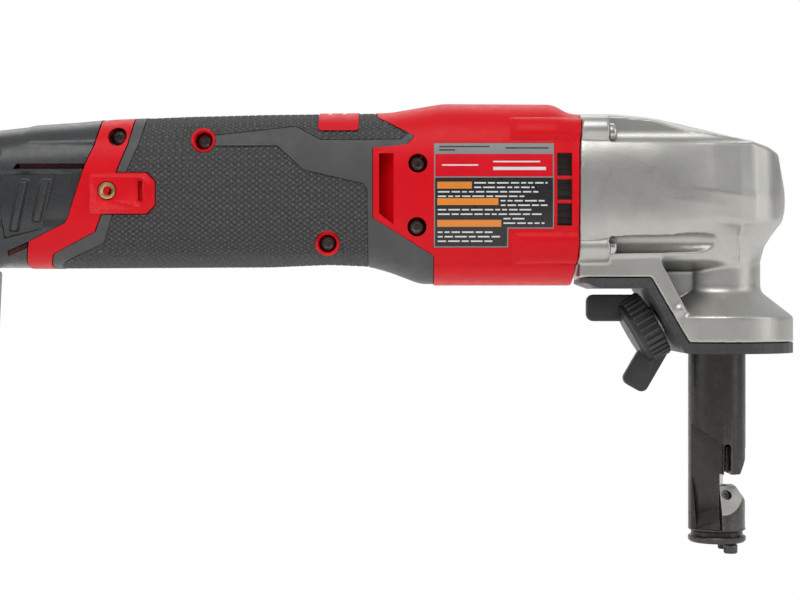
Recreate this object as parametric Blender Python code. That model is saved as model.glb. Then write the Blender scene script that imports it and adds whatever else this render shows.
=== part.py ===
"""Cordless sheet nibbler: inline battery body, planetary gearcase and turning die holder.

Design lengths are in millimetres. The punch axis is x = 0, y = 0, and z = 0 is the lower face
of the die holder. +X points to the gearcase, -X to the battery and +Z up. Every object hangs
on the empty "nibbler", which moves the origin to the centre of the finished tool's box.
"""

from math import acos, atan2, cos, pi, radians, sin

import bmesh
import bpy
import numpy as np
from mathutils import Vector

MM = 0.001
GAP = 0.3

# Driving dimensions
REAR_X = -297.0
FRONT_X = 27.1
FOOT_BOTTOM_Z = 64.0
HALF_WIDTH_MAX = 30.0
BOLT_BOTTOM_Z = -3.5
NOSE_TOP_Z = 158.2

# Body outline along X: top line, bottom line and half width
TOP_LINE = ((-297, 146), (-268, 148), (-249, 150.2), (-231, 151.4), (-217, 152.7), (-190, 153.8),
            (-162, 154.5), (-119, 155.0), (-100, 158.2), (-60.5, 158.0), (-54.7, 154.6), (-50.4, 154.5))
BOTTOM_LINE = ((-297, 98.9), (-240, 98.9), (-162, 99.3), (-141, 100.2), (-126, 99.6),
               (-118.5, 97.5), (-107.8, 93.4), (-50.4, 93.4))
HALF_WIDTH_LINE = ((-297, 24.6), (-230, 25.9), (-130, 26.2), (-105, 29.4), (-98, 30), (-60, 30),
                   (-50.4, 29))
BODY_ROUNDNESS = 2.8
MOTOR_Z = 127.0

# Slanted borders between the body's zones, as X at a height Z
BATTERY_BORDER = ((98.8, -248.0), (103.5, -246.6), (108.1, -245.3), (114.4, -232.4), (116.0, -231.3),
                  (134.8, -225.2), (142.0, -222.1), (148.0, -221.0), (154.0, -221.0))
BAND_BORDER = ((98.8, -239.6), (103.7, -237.3), (111.4, -221.9), (117.7, -219.3), (133.7, -213.7),
               (142.0, -210.5), (148.0, -209.4), (154.0, -209.4))
NOSE_BORDER = ((93.4, -103.0), (103.0, -103.2), (116.3, -124.5), (140.7, -124.5), (141.9, -112.5),
               (144.9, -109.9), (152.0, -122.5), (155.0, -124.0))
NOSE_END_X = -50.7
GRIP_SHARES = (0.25, 0.5, 0.75, 0.92)
GRIP_SKIN = 1.5
GRIP_SKIN_GAP = 0.6
SHELL_INSET = 2.8
GRIP_SHELL_INSET = 3.7

# Gearcase and die holder
GEARCASE_BACK_X = -50.4
GEARCASE_TOP = ((-50.4, 154.5), (-38.7, 154.5), (-27.8, 153.5), (-13.3, 151.3), (-6, 149.8), (1.3, 148),
                (8.5, 145.8), (15.8, 143.6), (20.2, 141.3), (20.7, 138.5), (22.4, 132), (23.8, 127.6),
                (24.4, 124.3))
GEARCASE_BOTTOM = ((-50.4, 95.6), (-45, 95.6), (-42, 97.5), (8, 97.5), (15.5, 101.5), (16.2, 105.8),
                   (18.7, 110.2), (20.2, 112.4), (22.4, 115), (23.8, 118.9), (24.4, 122.3))
GEARCASE_HALF_WIDTH = ((-50.4, 28.8), (-30, 28), (-5, 26.5), (8, 24.6), (15.8, 21.8), (20.2, 18.5),
                       (22.4, 13.5), (23.8, 8), (24.4, 4.5))
SCREW_Y = 20.0
SCREW_Z = (146.4, 106.2)
FLANGE_RADIUS = 27.1
FLANGE_Z = (72.7, 81.8)
NECK_RADIUS = 15.5
NECK_TOP_Z = 108.0
SLOPE_TOP = (-26.8, 95.6)
SLOPE_DIRECTION = (0.5, -0.866)
SLOPE_LENGTH = (SLOPE_TOP[1] - FLANGE_Z[0]) / -SLOPE_DIRECTION[1]
WEB_HALF_WIDTH = 22.0
TUBE_RADIUS = 10.3
COLLAR_RADIUS = 11.9
HEAD_BORE_RADIUS = 12.4
PLATE_BOTTOM_Z = 68.7
THROAT_Z = (20.4, 25.0)
PUNCH_RADIUS = 3.2
STROKE = 5.4

# Winged clamp knob, on an axis 30 degrees below -X
KNOB_CENTRE = Vector((-26.6, 0.0, 77.6))
KNOB_AXIS = Vector((-cos(radians(30)), 0.0, -sin(radians(30))))
KNOB_RADIUS = 12.6
KNOB_HALF_THICKNESS = 4.25
SLOPE_TO_KNOB = 8.83

# Planetary gears
GEAR_MODULE = 0.8
SUN_TEETH = 9
PLANET_TEETH = 18
RING_TEETH = 45
PLANET_ORBIT = GEAR_MODULE * (SUN_TEETH + PLANET_TEETH) / 2
CRANK_THROW = STROKE / 2

# Battery cells
CELL_RADIUS = 9.2
CELL_LENGTH = 65.0
STEM_CELLS = ((-9.35, 129.6), (9.35, 129.6), (0.0, 113.5))
STEM_RADIUS = 10.25
LATCH_Z = (115.1, 132.3)

# Clamshell screws: the zone each sits in, its x and z, and the y where its head rests
HOUSING_SCREWS = (("band", -214.4, 145.1, -14.5), ("grip", -184.0, 143.5, -15.5),
                  ("grip", -140.6, 107.5, -15.5), ("nose", -108.9, 135.2, -22.5),
                  ("nose", -109.2, 113.1, -22.5))
POST_RADIUS = {"band": 3.2, "grip": 3.2, "nose": 4.4}
POST_REACH_RIGHT = {"band": 16.0, "grip": 20.3, "nose": 26.6}
POST_REACH_LEFT = {"band": 16.0, "grip": 15.8, "nose": 26.6}
SCREW_SHANK_RADIUS = 1.45
SCREW_HEAD_RADIUS = 2.9
SCREW_HOLE_RADIUS = 1.75
SCREW_WELL_RADIUS = 3.5
BEYOND_BODY = 34.0

# Hanger pad on the right side, with its threaded insert
INSERT_PLACE = (-217.2, 0, 125.7)
INSERT_RADIUS = 3.1
INSERT_BORE_RADIUS = 1.55
PAD_FACE_Y = -27.0
PAD_OUTLINE = ((-222.6, 117.7), (-203.5, 117.7), (-200.6, 120.5), (-200.8, 129.5), (-203.6, 133.0),
               (-222.6, 133.0))
PAD_SLOT_X = (-206.5, -204.9)
PAD_SLOT_Z = (122.2, 129.2)

# Openings in the front shell
REAR_VENT_X = (-122.5, -117.4)
REAR_VENT_Z = (117.2, 138.8)
FRONT_VENT_X = (-60.6, -55.3)
FRONT_VENT_ROWS = ((113.4, 121.2), (122.2, 129.8), (130.8, 138.8))
SLIDE_SLOT_X = (-101.0, -69.0)
SLIDE_SLOT_HALF_WIDTH = 7.6
SLIDE_LINK_SLOT_X = (-116.0, -68.0)
SLIDE_LINK_SLOT_HALF_WIDTH = 3.6

# Bearing seats inside the body, as radii round the motor axis
REAR_SEAT_RADIUS = 8.4
STATOR_SEAT_RADIUS = 19.4

FINISHES = {
    "red_plastic": ((0.62, 0.012, 0.022), 0.38, 0.0),
    "grey_rubber": ((0.075, 0.078, 0.085), 0.75, 0.0),
    "black_plastic": ((0.022, 0.022, 0.024), 0.5, 0.0),
    "dark_plastic": ((0.045, 0.047, 0.052), 0.45, 0.0),
    "pale_plastic": ((0.34, 0.34, 0.34), 0.5, 0.0),
    "label": ((0.03, 0.03, 0.032), 0.35, 0.0),
    "cast_metal": ((0.42, 0.42, 0.40), 0.42, 0.85),
    "black_oxide": ((0.035, 0.034, 0.033), 0.4, 0.7),
    "steel": ((0.5, 0.5, 0.5), 0.3, 1.0),
    "die_steel": ((0.2, 0.2, 0.195), 0.4, 0.9),
    "brass": ((0.66, 0.48, 0.2), 0.3, 1.0),
    "copper": ((0.6, 0.27, 0.12), 0.4, 1.0),
    "board_green": ((0.02, 0.12, 0.05), 0.5, 0.0),
    "cell_wrap": ((0.05, 0.22, 0.34), 0.45, 0.0),
}


def clear_scene():
    for obj in list(bpy.data.objects):
        bpy.data.objects.remove(obj, do_unlink=True)


def finish(name):
    """Return the named Principled material, made once."""
    found = bpy.data.materials.get(name)
    if found:
        return found
    colour, roughness, metallic = FINISHES[name]
    made = bpy.data.materials.new(name)
    made.use_nodes = True
    shader = made.node_tree.nodes["Principled BSDF"]
    shader.inputs["Base Color"].default_value = (*colour, 1.0)
    shader.inputs["Roughness"].default_value = roughness
    shader.inputs["Metallic"].default_value = metallic
    return made


class Design:
    """Keeps the root empty and the empties that stand on the joint axes."""

    root = None
    pivots = {}


def make_root():
    centre = Vector(((REAR_X + FRONT_X) / 2, 0.0, (BOLT_BOTTOM_Z + NOSE_TOP_Z) / 2))
    root = bpy.data.objects.new("nibbler", None)
    root.location = -centre * MM
    bpy.context.scene.collection.objects.link(root)
    Design.root = root


def make_pivot(name, place):
    """Add an empty on a joint's axis, for the pieces that move with that joint."""
    empty = bpy.data.objects.new(name, None)
    empty.location = Vector(place) * MM
    empty.parent = Design.root
    bpy.context.scene.collection.objects.link(empty)
    Design.pivots[name] = (empty, Vector(place))


def add_mesh(name, shape, material=None, pivot=None, sharp=35.0):
    """Make an object from (points, faces) in design millimetres."""
    points, faces = shape
    parent, origin = Design.pivots[pivot] if pivot else (Design.root, Vector((0, 0, 0)))
    mesh = bpy.data.meshes.new(name)
    mesh.from_pydata([(Vector(p) - origin) * MM for p in points], [], faces)
    work = bmesh.new()
    work.from_mesh(mesh)
    bmesh.ops.recalc_face_normals(work, faces=work.faces)
    work.to_mesh(mesh)
    work.free()
    obj = bpy.data.objects.new(name, mesh)
    obj.parent = parent
    bpy.context.scene.collection.objects.link(obj)
    if material:
        mesh.materials.append(finish(material))
        mesh.shade_smooth()
        mesh.set_sharp_from_angle(angle=radians(sharp))
    return obj


def combine(obj, operation, shape, pivot=None):
    """Join, cut or trim obj with a hidden guide made from shape."""
    guide = add_mesh(f"{obj.name}_{operation.lower()}_{len(obj.modifiers)}", shape, pivot=pivot)
    guide.hide_render = True
    guide.display_type = "WIRE"
    modifier = obj.modifiers.new(operation.title(), "BOOLEAN")
    modifier.operation = operation
    modifier.solver = "EXACT"
    modifier.object = guide


def cut(obj, shape, pivot=None):
    combine(obj, "DIFFERENCE", shape, pivot)


def join(obj, shape, pivot=None):
    combine(obj, "UNION", shape, pivot)


def together(*shapes):
    """Put several shapes that don't touch into one list of points and faces."""
    points, faces = [], []
    for more_points, more_faces in shapes:
        start = len(points)
        points += list(more_points)
        faces += [tuple(start + i for i in face) for face in more_faces]
    return points, faces


def loft(rings):
    """Skin equal rings of points, and close both ends with a flat face."""
    count = len(rings[0])
    points = [p for ring in rings for p in ring]
    faces = [tuple(range(count)), tuple(len(points) - 1 - i for i in range(count))]
    for row in range(len(rings) - 1):
        for i in range(count):
            j = (i + 1) % count
            a = row * count
            faces.append((a + i, a + j, a + count + j, a + count + i))
    return points, faces


AXES = {"X": (1, 2, 0), "Y": (0, 2, 1), "Z": (0, 1, 2)}


def prism(outline, axis, low, high):
    """Extrude an outline given in the two other axes, in alphabetical order."""
    first, second, third = AXES[axis]
    rings = []
    for level in (low, high):
        ring = []
        for a, b in outline:
            point = [0.0, 0.0, 0.0]
            point[first], point[second], point[third] = a, b, level
            ring.append(tuple(point))
        rings.append(ring)
    return loft(rings)


def box(x, y, z):
    return prism(((x[0], y[0]), (x[1], y[0]), (x[1], y[1]), (x[0], y[1])), "Z", *z)


def turned(profile, centre, axis, steps=32):
    """Turn a closed profile of (radius, distance along the axis) points."""
    axis = Vector(axis).normalized()
    side = axis.cross(Vector((0, 1, 0)) if abs(axis.y) < 0.9 else Vector((1, 0, 0))).normalized()
    up = axis.cross(side)
    centre = Vector(centre)
    points, rows = [], []
    for radius, along in profile:
        if radius == 0:
            rows.append([len(points)] * steps)
            points.append(centre + axis * along)
            continue
        rows.append(list(range(len(points), len(points) + steps)))
        for k in range(steps):
            turn = 2 * pi * k / steps
            points.append(centre + axis * along + (side * cos(turn) + up * sin(turn)) * radius)
    faces = []
    closed = all(radius > 0 for radius in (profile[0][0], profile[-1][0]))
    pairs = list(zip(rows, rows[1:])) + ([(rows[-1], rows[0])] if closed else [])
    for row, following in pairs:
        for k in range(steps):
            j = (k + 1) % steps
            face = []
            for index in (row[k], row[j], following[j], following[k]):
                if index not in face:
                    face.append(index)
            if len(face) > 2:
                faces.append(tuple(face))
    return points, faces


def rod(radius, centre, axis, low, high, steps=24):
    return turned(((0, low), (radius, low), (radius, high), (0, high)), centre, axis, steps)


def ring(inner, outer, centre, axis, low, high, steps=32):
    return turned(((inner, low), (outer, low), (outer, high), (inner, high)), centre, axis, steps)


def circle(radius, steps, centre=(0.0, 0.0), start=0.0, sweep=2 * pi, closed=True):
    last = steps if closed else steps - 1
    return [(centre[0] + radius * cos(start + sweep * k / last),
             centre[1] + radius * sin(start + sweep * k / last)) for k in range(steps)]


def rounded(corners, radius, steps=3):
    """Round the corners of an outline with arcs."""
    outline = []
    count = len(corners)
    for i, corner in enumerate(corners):
        here = Vector(corner)
        before = (Vector(corners[i - 1]) - here).normalized()
        after = (Vector(corners[(i + 1) % count]) - here).normalized()
        half = acos(max(-1.0, min(1.0, before.dot(after)))) / 2
        reach = radius / np.tan(half)
        middle = here + (before + after).normalized() * (radius / sin(half))
        start = here + before * reach - middle
        end = here + after * reach - middle
        turn = atan2(start.x * end.y - start.y * end.x, start.dot(end))
        for k in range(steps + 1):
            angle = atan2(start.y, start.x) + turn * k / steps
            outline.append((middle.x + radius * cos(angle), middle.y + radius * sin(angle)))
    return outline


def along(line, x):
    return float(np.interp(x, [p[0] for p in line], [p[1] for p in line]))


def section_point(x, turn, inset=0.0):
    """Point of the body's rounded section at x: turn 90 is the top seam, 180 the right side."""
    half_width = along(HALF_WIDTH_LINE, x) - inset
    top = along(TOP_LINE, x) - inset
    bottom = along(BOTTOM_LINE, x) + inset
    middle, half_height = (top + bottom) / 2, (top - bottom) / 2
    power = 2 / BODY_ROUNDNESS
    y = half_width * abs(cos(turn)) ** power * (1 if cos(turn) >= 0 else -1)
    z = middle + half_height * abs(sin(turn)) ** power * (1 if sin(turn) >= 0 else -1)
    return y, z


def placed_point(place, turn, inset, side, round_radius=None):
    """Point on the body where place is an X or a function of height; side is -1 for the right half."""
    x = place if isinstance(place, (int, float)) else place(section_point(-150.0, turn)[1])
    if not isinstance(place, (int, float)):
        for _ in range(3):
            x = place(section_point(x, turn)[1])
    y, z = section_point(x, turn, inset)
    if round_radius:
        y, z = round_radius * cos(turn), MOTOR_Z + round_radius * sin(turn)
    return x, side * max(abs(y), GAP / 2), z


def border(line, shift=0.0):
    return lambda z: along(line, z) + shift


def between(first, second, share):
    return lambda z: first(z) * (1 - share) + second(z) * share


HALF_TURNS = [radians(90 + 180 * k / 11) for k in range(12)]


def half_shell(stations, side):
    """Skin a C-shaped half shell through (place, outer inset, inner inset, round radius) stations."""
    count = len(HALF_TURNS)
    points, faces = [], []
    for place, outer, inner, round_radius in stations:
        points += [placed_point(place, t, outer, side) for t in HALF_TURNS]
        points += [placed_point(place, t, inner, side, round_radius) for t in HALF_TURNS]
    for row in range(len(stations)):
        a = 2 * count * row
        b = a + 2 * count
        if row in (0, len(stations) - 1):
            faces += [(a + i, a + i + 1, a + count + i + 1, a + count + i) for i in range(count - 1)]
        if row == len(stations) - 1:
            break
        for i in range(count - 1):
            faces.append((a + i, a + i + 1, b + i + 1, b + i))
            faces.append((a + count + i, b + count + i, b + count + i + 1, a + count + i + 1))
        for i in (0, count - 1):
            faces.append((a + i, b + i, b + count + i, a + count + i))
    return points, faces


def body_side(x, z):
    """Distance from the middle plane to the body's side surface at x and z."""
    top, bottom = along(TOP_LINE, x), along(BOTTOM_LINE, x)
    share = abs(z - (top + bottom) / 2) / ((top - bottom) / 2)
    return along(HALF_WIDTH_LINE, x) * max(0.0, 1 - share ** BODY_ROUNDNESS) ** (1 / BODY_ROUNDNESS)


def draped_slab(columns, rows, holds, outer_inset, inner_inset):
    """Slab that follows the right side of the body over the grid cells that holds(i, j) accepts."""
    points, index, faces = [], {}, []

    def corner(i, j, layer):
        if (i, j, layer) not in index:
            index[(i, j, layer)] = len(points)
            x, z = columns[i], rows[j]
            points.append((x, -(body_side(x, z) - (outer_inset, inner_inset)[layer]), z))
        return index[(i, j, layer)]

    cells = {(i, j) for i in range(len(columns) - 1) for j in range(len(rows) - 1) if holds(i, j)}
    for i, j in cells:
        square = ((i, j), (i + 1, j), (i + 1, j + 1), (i, j + 1))
        faces.append(tuple(corner(a, b, 0) for a, b in square))
        faces.append(tuple(corner(a, b, 1) for a, b in reversed(square)))
        beyond = ((i, j - 1), (i + 1, j), (i, j + 1), (i - 1, j))
        for k, neighbour in enumerate(beyond):
            if neighbour not in cells:
                a, b = square[k], square[(k + 1) % 4]
                faces.append((corner(*a, 0), corner(*a, 1), corner(*b, 1), corner(*b, 0)))
    return points, faces


# ---------------------------------------------------------------- body shells

def shell_stations():
    band, grip, nose = border(BATTERY_BORDER), border(BAND_BORDER), border(NOSE_BORDER)
    skin = GRIP_SKIN + GRIP_SKIN_GAP
    step = 0.15
    return [
        (band, 0, 2.6, None),
        (border(BAND_BORDER, -step), 0, 2.6, None),
        (border(BAND_BORDER, step), skin, GRIP_SHELL_INSET, None),
        *((between(grip, nose, share), skin, GRIP_SHELL_INSET, None) for share in GRIP_SHARES),
        (border(NOSE_BORDER, -step), skin, GRIP_SHELL_INSET, None),
        (border(NOSE_BORDER, step), 0, SHELL_INSET, None),
        (-102.0, 0, SHELL_INSET, None),
        (-101.0, 0, SHELL_INSET, None),
        (-100.7, 0, SHELL_INSET, REAR_SEAT_RADIUS),
        (-97.0, 0, SHELL_INSET, REAR_SEAT_RADIUS),
        (-96.7, 0, SHELL_INSET, None),
        (-90.3, 0, SHELL_INSET, None),
        (-90.0, 0, SHELL_INSET, STATOR_SEAT_RADIUS),
        (-87.0, 0, SHELL_INSET, STATOR_SEAT_RADIUS),
        (-86.7, 0, SHELL_INSET, None),
        (-60.5, 0, SHELL_INSET, None),
        (-54.9, 0, SHELL_INSET, None),
        (-54.6, 0, SHELL_INSET, REAR_SEAT_RADIUS),
        (NOSE_END_X, 0, SHELL_INSET, REAR_SEAT_RADIUS),
    ]


def housing_bosses(side):
    """Screw posts inside the shell, and the posts that the gearcase screws bite into."""
    posts = []
    reach = POST_REACH_LEFT if side > 0 else POST_REACH_RIGHT
    for zone, x, z, _ in HOUSING_SCREWS:
        slim, wide, end = POST_RADIUS[zone], POST_RADIUS["nose"], reach[zone]
        if zone == "grip" and side < 0:
            steps = ((0, GAP / 2), (slim, GAP / 2), (slim, 14.0), (wide, 14.0), (wide, end), (0, end))
            posts.append(turned(steps, (x, 0, z), (0, side, 0), 10))
        else:
            posts.append(rod(slim, (x, 0, z), (0, side, 0), GAP / 2, end, 8))
    for z in SCREW_Z:
        posts.append(rod(5.2, (0, side * SCREW_Y, z), (1, 0, 0), -75.0, NOSE_END_X - 0.01, 10))
    return posts


def housing(name, side):
    shell = add_mesh(name, half_shell(shell_stations(), side), "red_plastic")
    for post in housing_bosses(side):
        join(shell, post)
    if side < 0:
        join(shell, prism(PAD_OUTLINE, "Y", PAD_FACE_Y, -20.8))
        cut(shell, rod(INSERT_RADIUS + GAP, INSERT_PLACE, (0, -1, 0), 21.6, 30.0, 24))
        cut(shell, box(PAD_SLOT_X, (-30.0, PAD_FACE_Y + 2.0), PAD_SLOT_Z))
    holes = []
    for _, x, z, seat in HOUSING_SCREWS:
        if side < 0:
            well = ((0, -1.0), (SCREW_HOLE_RADIUS, -1.0), (SCREW_HOLE_RADIUS, -seat - GAP),
                    (SCREW_WELL_RADIUS, -seat - GAP), (SCREW_WELL_RADIUS, BEYOND_BODY), (0, BEYOND_BODY))
            holes.append(turned(well, (x, 0, z), (0, -1, 0), 12))
        else:
            holes.append(rod(SCREW_HOLE_RADIUS, (x, 0, z), (0, 1, 0), -1.0, 11.0, 6))
    for z in SCREW_Z:
        holes.append(rod(2.3, (0, side * SCREW_Y, z), (1, 0, 0), -71.5, -49.0, 8))
    through_wall = sorted((side * 20.0, side * BEYOND_BODY))
    holes.append(box(REAR_VENT_X, through_wall, REAR_VENT_Z))
    for row in FRONT_VENT_ROWS:
        holes.append(box(FRONT_VENT_X, through_wall, row))
    for hole in holes:
        cut(shell, hole)
    cut(shell, box(SLIDE_SLOT_X, sorted((-side, side * SLIDE_SLOT_HALF_WIDTH)), (150.0, 162.0)))
    cut(shell, box(SLIDE_LINK_SLOT_X, sorted((-side, side * SLIDE_LINK_SLOT_HALF_WIDTH)), (148.0, 152.0)))
    if side < 0:
        cut(shell, draped_slab(*PLATE_GRID, plate_cell, -2.0, 0.9))
    return shell


# The rating plate's seat: columns and rows of its grid, and where its lower row stops
PLATE_GRID = ([-103.4, -95.0, -86.5, -77.7, -69.5, -61.7], [105.9, 112.4, 119.8, 127.3, 134.7, 142.1])
PLATE_STEP = 3


def plate_cell(i, j):
    """The label plate's grid cells: its lower row stops short of the front columns."""
    return j > 0 or i < PLATE_STEP


def rating_plate():
    columns, rows = list(PLATE_GRID[0]), list(PLATE_GRID[1])
    for line, low, high in ((columns, (0,), (PLATE_STEP, -1)), (rows, (0, 1), (-1,))):
        for index in low:
            line[index] += GAP
        for index in high:
            line[index] -= GAP
    add_mesh("rating_plate", draped_slab(columns, rows, plate_cell, 0.05, 0.6), "label")


def grip_cover(name, side):
    rear, front = border(BAND_BORDER, GAP + 0.2), border(NOSE_BORDER, -GAP - 0.2)
    shares = (0, *GRIP_SHARES, 1)
    stations = [(between(rear, front, share), 0, GRIP_SKIN, None) for share in shares]
    cover = add_mesh(name, half_shell(stations, side), "grey_rubber")
    if side < 0:
        radius = {"band": 3.9, "grip": 4.7}
        holes = [rod(radius[zone], (x, 0, z), (0, -1, 0), 8.0, BEYOND_BODY, 20)
                 for zone, x, z, _ in HOUSING_SCREWS if zone in radius]
        holes.append(box((-223.5, -200.0), (-BEYOND_BODY, -20.0), (117.0, 133.7)))
        cut(cover, together(*holes))
    return cover


def hanger_insert():
    sleeve = ring(INSERT_BORE_RADIUS, INSERT_RADIUS, INSERT_PLACE, (0, -1, 0), 22.2, 26.9, 16)
    add_mesh("hanger_insert", sleeve, "brass")


def housing_screws():
    for number, (_, x, z, seat) in enumerate(HOUSING_SCREWS, 1):
        head, tip = -seat, -10.0
        profile = ((0, tip), (SCREW_SHANK_RADIUS, tip + 1.5), (SCREW_SHANK_RADIUS, head),
                   (SCREW_HEAD_RADIUS, head), (SCREW_HEAD_RADIUS, head + 1.7), (1.3, head + 2.3),
                   (1.3, head + 1.0), (0, head + 1.0))
        add_mesh(f"housing_screw_{number}", turned(profile, (x, 0, z), (0, -1, 0), 10), "black_oxide")


# ---------------------------------------------------------------- gearcase

def gearcase_ring(x):
    half_width = along(GEARCASE_HALF_WIDTH, x)
    top, bottom = along(GEARCASE_TOP, x), along(GEARCASE_BOTTOM, x)
    steps, power = 28, 0.64
    ring_points = []
    for k in range(steps):
        turn = 2 * pi * (k + 0.5) / steps
        y = half_width * abs(cos(turn)) ** power * (1 if cos(turn) > 0 else -1)
        z = (top + bottom) / 2 + (top - bottom) / 2 * abs(sin(turn)) ** power * (1 if sin(turn) > 0 else -1)
        ring_points.append((x, y, z))
    return ring_points


def slope_point(down, out=0.0):
    """Point on the slope below the barrel, out along the knob's axis."""
    return (SLOPE_TOP[0] + SLOPE_DIRECTION[0] * down + KNOB_AXIS.x * out,
            SLOPE_TOP[1] + SLOPE_DIRECTION[1] * down + KNOB_AXIS.z * out)


def gearcase():
    stations = (-50.4, -45, -42, -27.8, -13.3, 0, 9, 15.8, 20.2, 20.7, 22.4, 23.8, 24.4)
    case = add_mesh("gearcase", loft([gearcase_ring(x) for x in stations]), "cast_metal")
    foot_x = slope_point(SLOPE_LENGTH)[0]
    skirt = [(-50.0, 95.6), SLOPE_TOP, (foot_x, FLANGE_Z[0]), (6.0, FLANGE_Z[0]), (6.0, 84.0),
             (-4.0, 104.0), (-50.0, 104.0)]
    join(case, prism(skirt, "Y", -WEB_HALF_WIDTH, WEB_HALF_WIDTH))
    neck = ((0, FLANGE_Z[0]), (FLANGE_RADIUS, FLANGE_Z[0]), (FLANGE_RADIUS, FLANGE_Z[1]),
            (NECK_RADIUS, 90.5), (NECK_RADIUS, NECK_TOP_Z), (0, NECK_TOP_Z))
    join(case, turned(neck, (0, 0, 0), (0, 0, 1), 32))
    for y in (-SCREW_Y, SCREW_Y):
        for z in SCREW_Z:
            join(case, rod(5.2, (0, y, z), (1, 0, 0), GEARCASE_BACK_X + 0.05, -42.0, 10))
    behind_slope = [SLOPE_TOP, slope_point(60), slope_point(60, 50), (-70.0, 40.0), (-70.0, SLOPE_TOP[1])]
    cut(case, prism(behind_slope, "Y", -40.0, 40.0))
    for side in (-1, 1):
        pocket = [(-21.0, 100.8), (-12.5, 100.8), (-12.5, 88.0)]
        cut(case, prism(pocket, "Y", *sorted((side * 9.0, side * 40.0))))
        for z, front in zip(SCREW_Z, (40.0, 0.0)):
            channel = ((0, -42.0), (4.8, -42.0), (4.8, front), (0, front + 5.0))
            cut(case, turned(channel, (0, side * (SCREW_Y + 0.5), z), (1, 0, 0), 12))
            cut(case, rod(2.4, (0, side * SCREW_Y, z), (1, 0, 0), -60.0, -40.0, 8))
    bore = ((0, -60.0), (21.8, -60.0), (21.8, -33.0), (13.3, -33.0), (13.3, -14.5), (12.4, -14.5),
            (12.4, -5.5), (0, -5.5))
    cut(case, turned(bore, (0, 0, MOTOR_Z), (1, 0, 0), 24))
    cut(case, box((-6.0, 6.0), (-11.8, 11.8), (106.0, 144.0)))
    cut(case, rod(HEAD_BORE_RADIUS, (0, 0, 0), (0, 0, 1), 60.0, 117.0, 28))
    cut(case, rod(3.3, KNOB_CENTRE, -KNOB_AXIS, 0.0, 15.6, 14))


def gearcase_screws():
    number = 0
    for z in SCREW_Z:
        for y in (-SCREW_Y, SCREW_Y):
            number += 1
            profile = ((0, -70.0), (2.0, -68.0), (2.0, -41.7), (3.4, -41.7), (3.4, -39.6),
                       (2.6, -38.8), (1.5, -38.8), (1.5, -40.0), (0, -40.0))
            add_mesh(f"gearcase_screw_{number}", turned(profile, (0, y, z), (1, 0, 0), 10), "steel")


def clamp_plate():
    top_z, bottom_z = FLANGE_Z[0] - GAP, PLATE_BOTTOM_Z
    inner_top = slope_point(0.0, GAP)
    inner_foot = slope_point(SLOPE_LENGTH + 0.1, GAP)
    outer_top = slope_point(2.6, 3.1)
    outer_foot = slope_point(SLOPE_LENGTH + 2.6, 3.1)
    side = [(-50.0, 95.3), (inner_top[0], 95.3), (inner_foot[0], top_z), (30.0, top_z), (30.0, bottom_z),
            (outer_foot[0] + 1.0, bottom_z), outer_foot, outer_top, (outer_top[0] - 2.0, 91.8),
            (-45.0, 91.8), (-50.0, 93.6)]
    plate = add_mesh("clamp_plate", prism(side, "Y", -40.0, 40.0), "black_plastic")
    tangent = acos(WEB_HALF_WIDTH / FLANGE_RADIUS)
    arc = circle(FLANGE_RADIUS, 25, start=-pi / 2 - tangent, sweep=pi + 2 * tangent, closed=False)
    plan = arc + [(-49.0, WEB_HALF_WIDTH), (-50.5, 19.0), (-50.5, -19.0), (-49.0, -WEB_HALF_WIDTH)]
    combine(plate, "INTERSECT", prism(plan, "Z", 50.0, 110.0))
    cut(plate, rod(TUBE_RADIUS + GAP, (0, 0, 0), (0, 0, 1), 60.0, 80.0, 40))
    cut(plate, rod(3.3, KNOB_CENTRE, -KNOB_AXIS, 0.0, 15.6, 20))


def knob_outline():
    ribs = 20
    outline = []
    for rib in range(ribs):
        for share, radius in ((0.05, KNOB_RADIUS), (0.5, KNOB_RADIUS), (0.65, KNOB_RADIUS - 0.9),
                              (0.9, KNOB_RADIUS - 0.9)):
            turn = 2 * pi * (rib + share) / ribs
            outline.append((radius * cos(turn), radius * sin(turn)))
    return outline


def on_knob(outline, low, high):
    """Extrude an outline along the knob's axis."""
    across = Vector((0, 1, 0))
    up = KNOB_AXIS.cross(across)
    return loft([[KNOB_CENTRE + KNOB_AXIS * level + across * a + up * b for a, b in outline]
                 for level in (low, high)])


def wing_outline(mirrored):
    """Upper wing in the XZ plane, or its mirror image about the knob's axis."""
    left, low, high = -47.5, 79.9, 89.6
    corners = [(-30.0, low), (left, low), (left, high), (-30.0, high)]
    outline = [corners[0]] + rounded(corners, 2.6, 3)[4:12] + [corners[3]]
    if not mirrored:
        return outline
    flipped = []
    for x, z in outline:
        point = Vector((x, 0, z)) - KNOB_CENTRE
        point = KNOB_CENTRE + 2 * point.dot(KNOB_AXIS) * KNOB_AXIS - point
        flipped.append((point.x, point.z))
    return flipped


def clamp_knob():
    make_pivot("clamp_knob_axis", KNOB_CENTRE)
    pivot = "clamp_knob_axis"
    knob = add_mesh("clamp_knob", on_knob(knob_outline(), -KNOB_HALF_THICKNESS, KNOB_HALF_THICKNESS),
                    "black_plastic", pivot)
    hub = ((0, 3.0), (9.6, 3.0), (9.6, KNOB_HALF_THICKNESS + 1.0), (9.0, KNOB_HALF_THICKNESS + 1.5),
           (0, KNOB_HALF_THICKNESS + 1.5))
    join(knob, turned(hub, KNOB_CENTRE, KNOB_AXIS, 32), pivot)
    for mirrored in (False, True):
        join(knob, prism(wing_outline(mirrored), "Y", -2.3, 2.3), pivot)
    cut(knob, rod(3.2, KNOB_CENTRE, KNOB_AXIS, -8.0, 3.3, 20), pivot)
    add_mesh("clamp_screw", rod(2.9, KNOB_CENTRE, KNOB_AXIS, -15.2, 3.0, 20), "steel", pivot)
    washer = ring(3.3, 6.2, KNOB_CENTRE, KNOB_AXIS, -5.45, -4.55, 16)
    add_mesh("clamp_washer", washer, "steel")


# ---------------------------------------------------------------- die head

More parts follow.
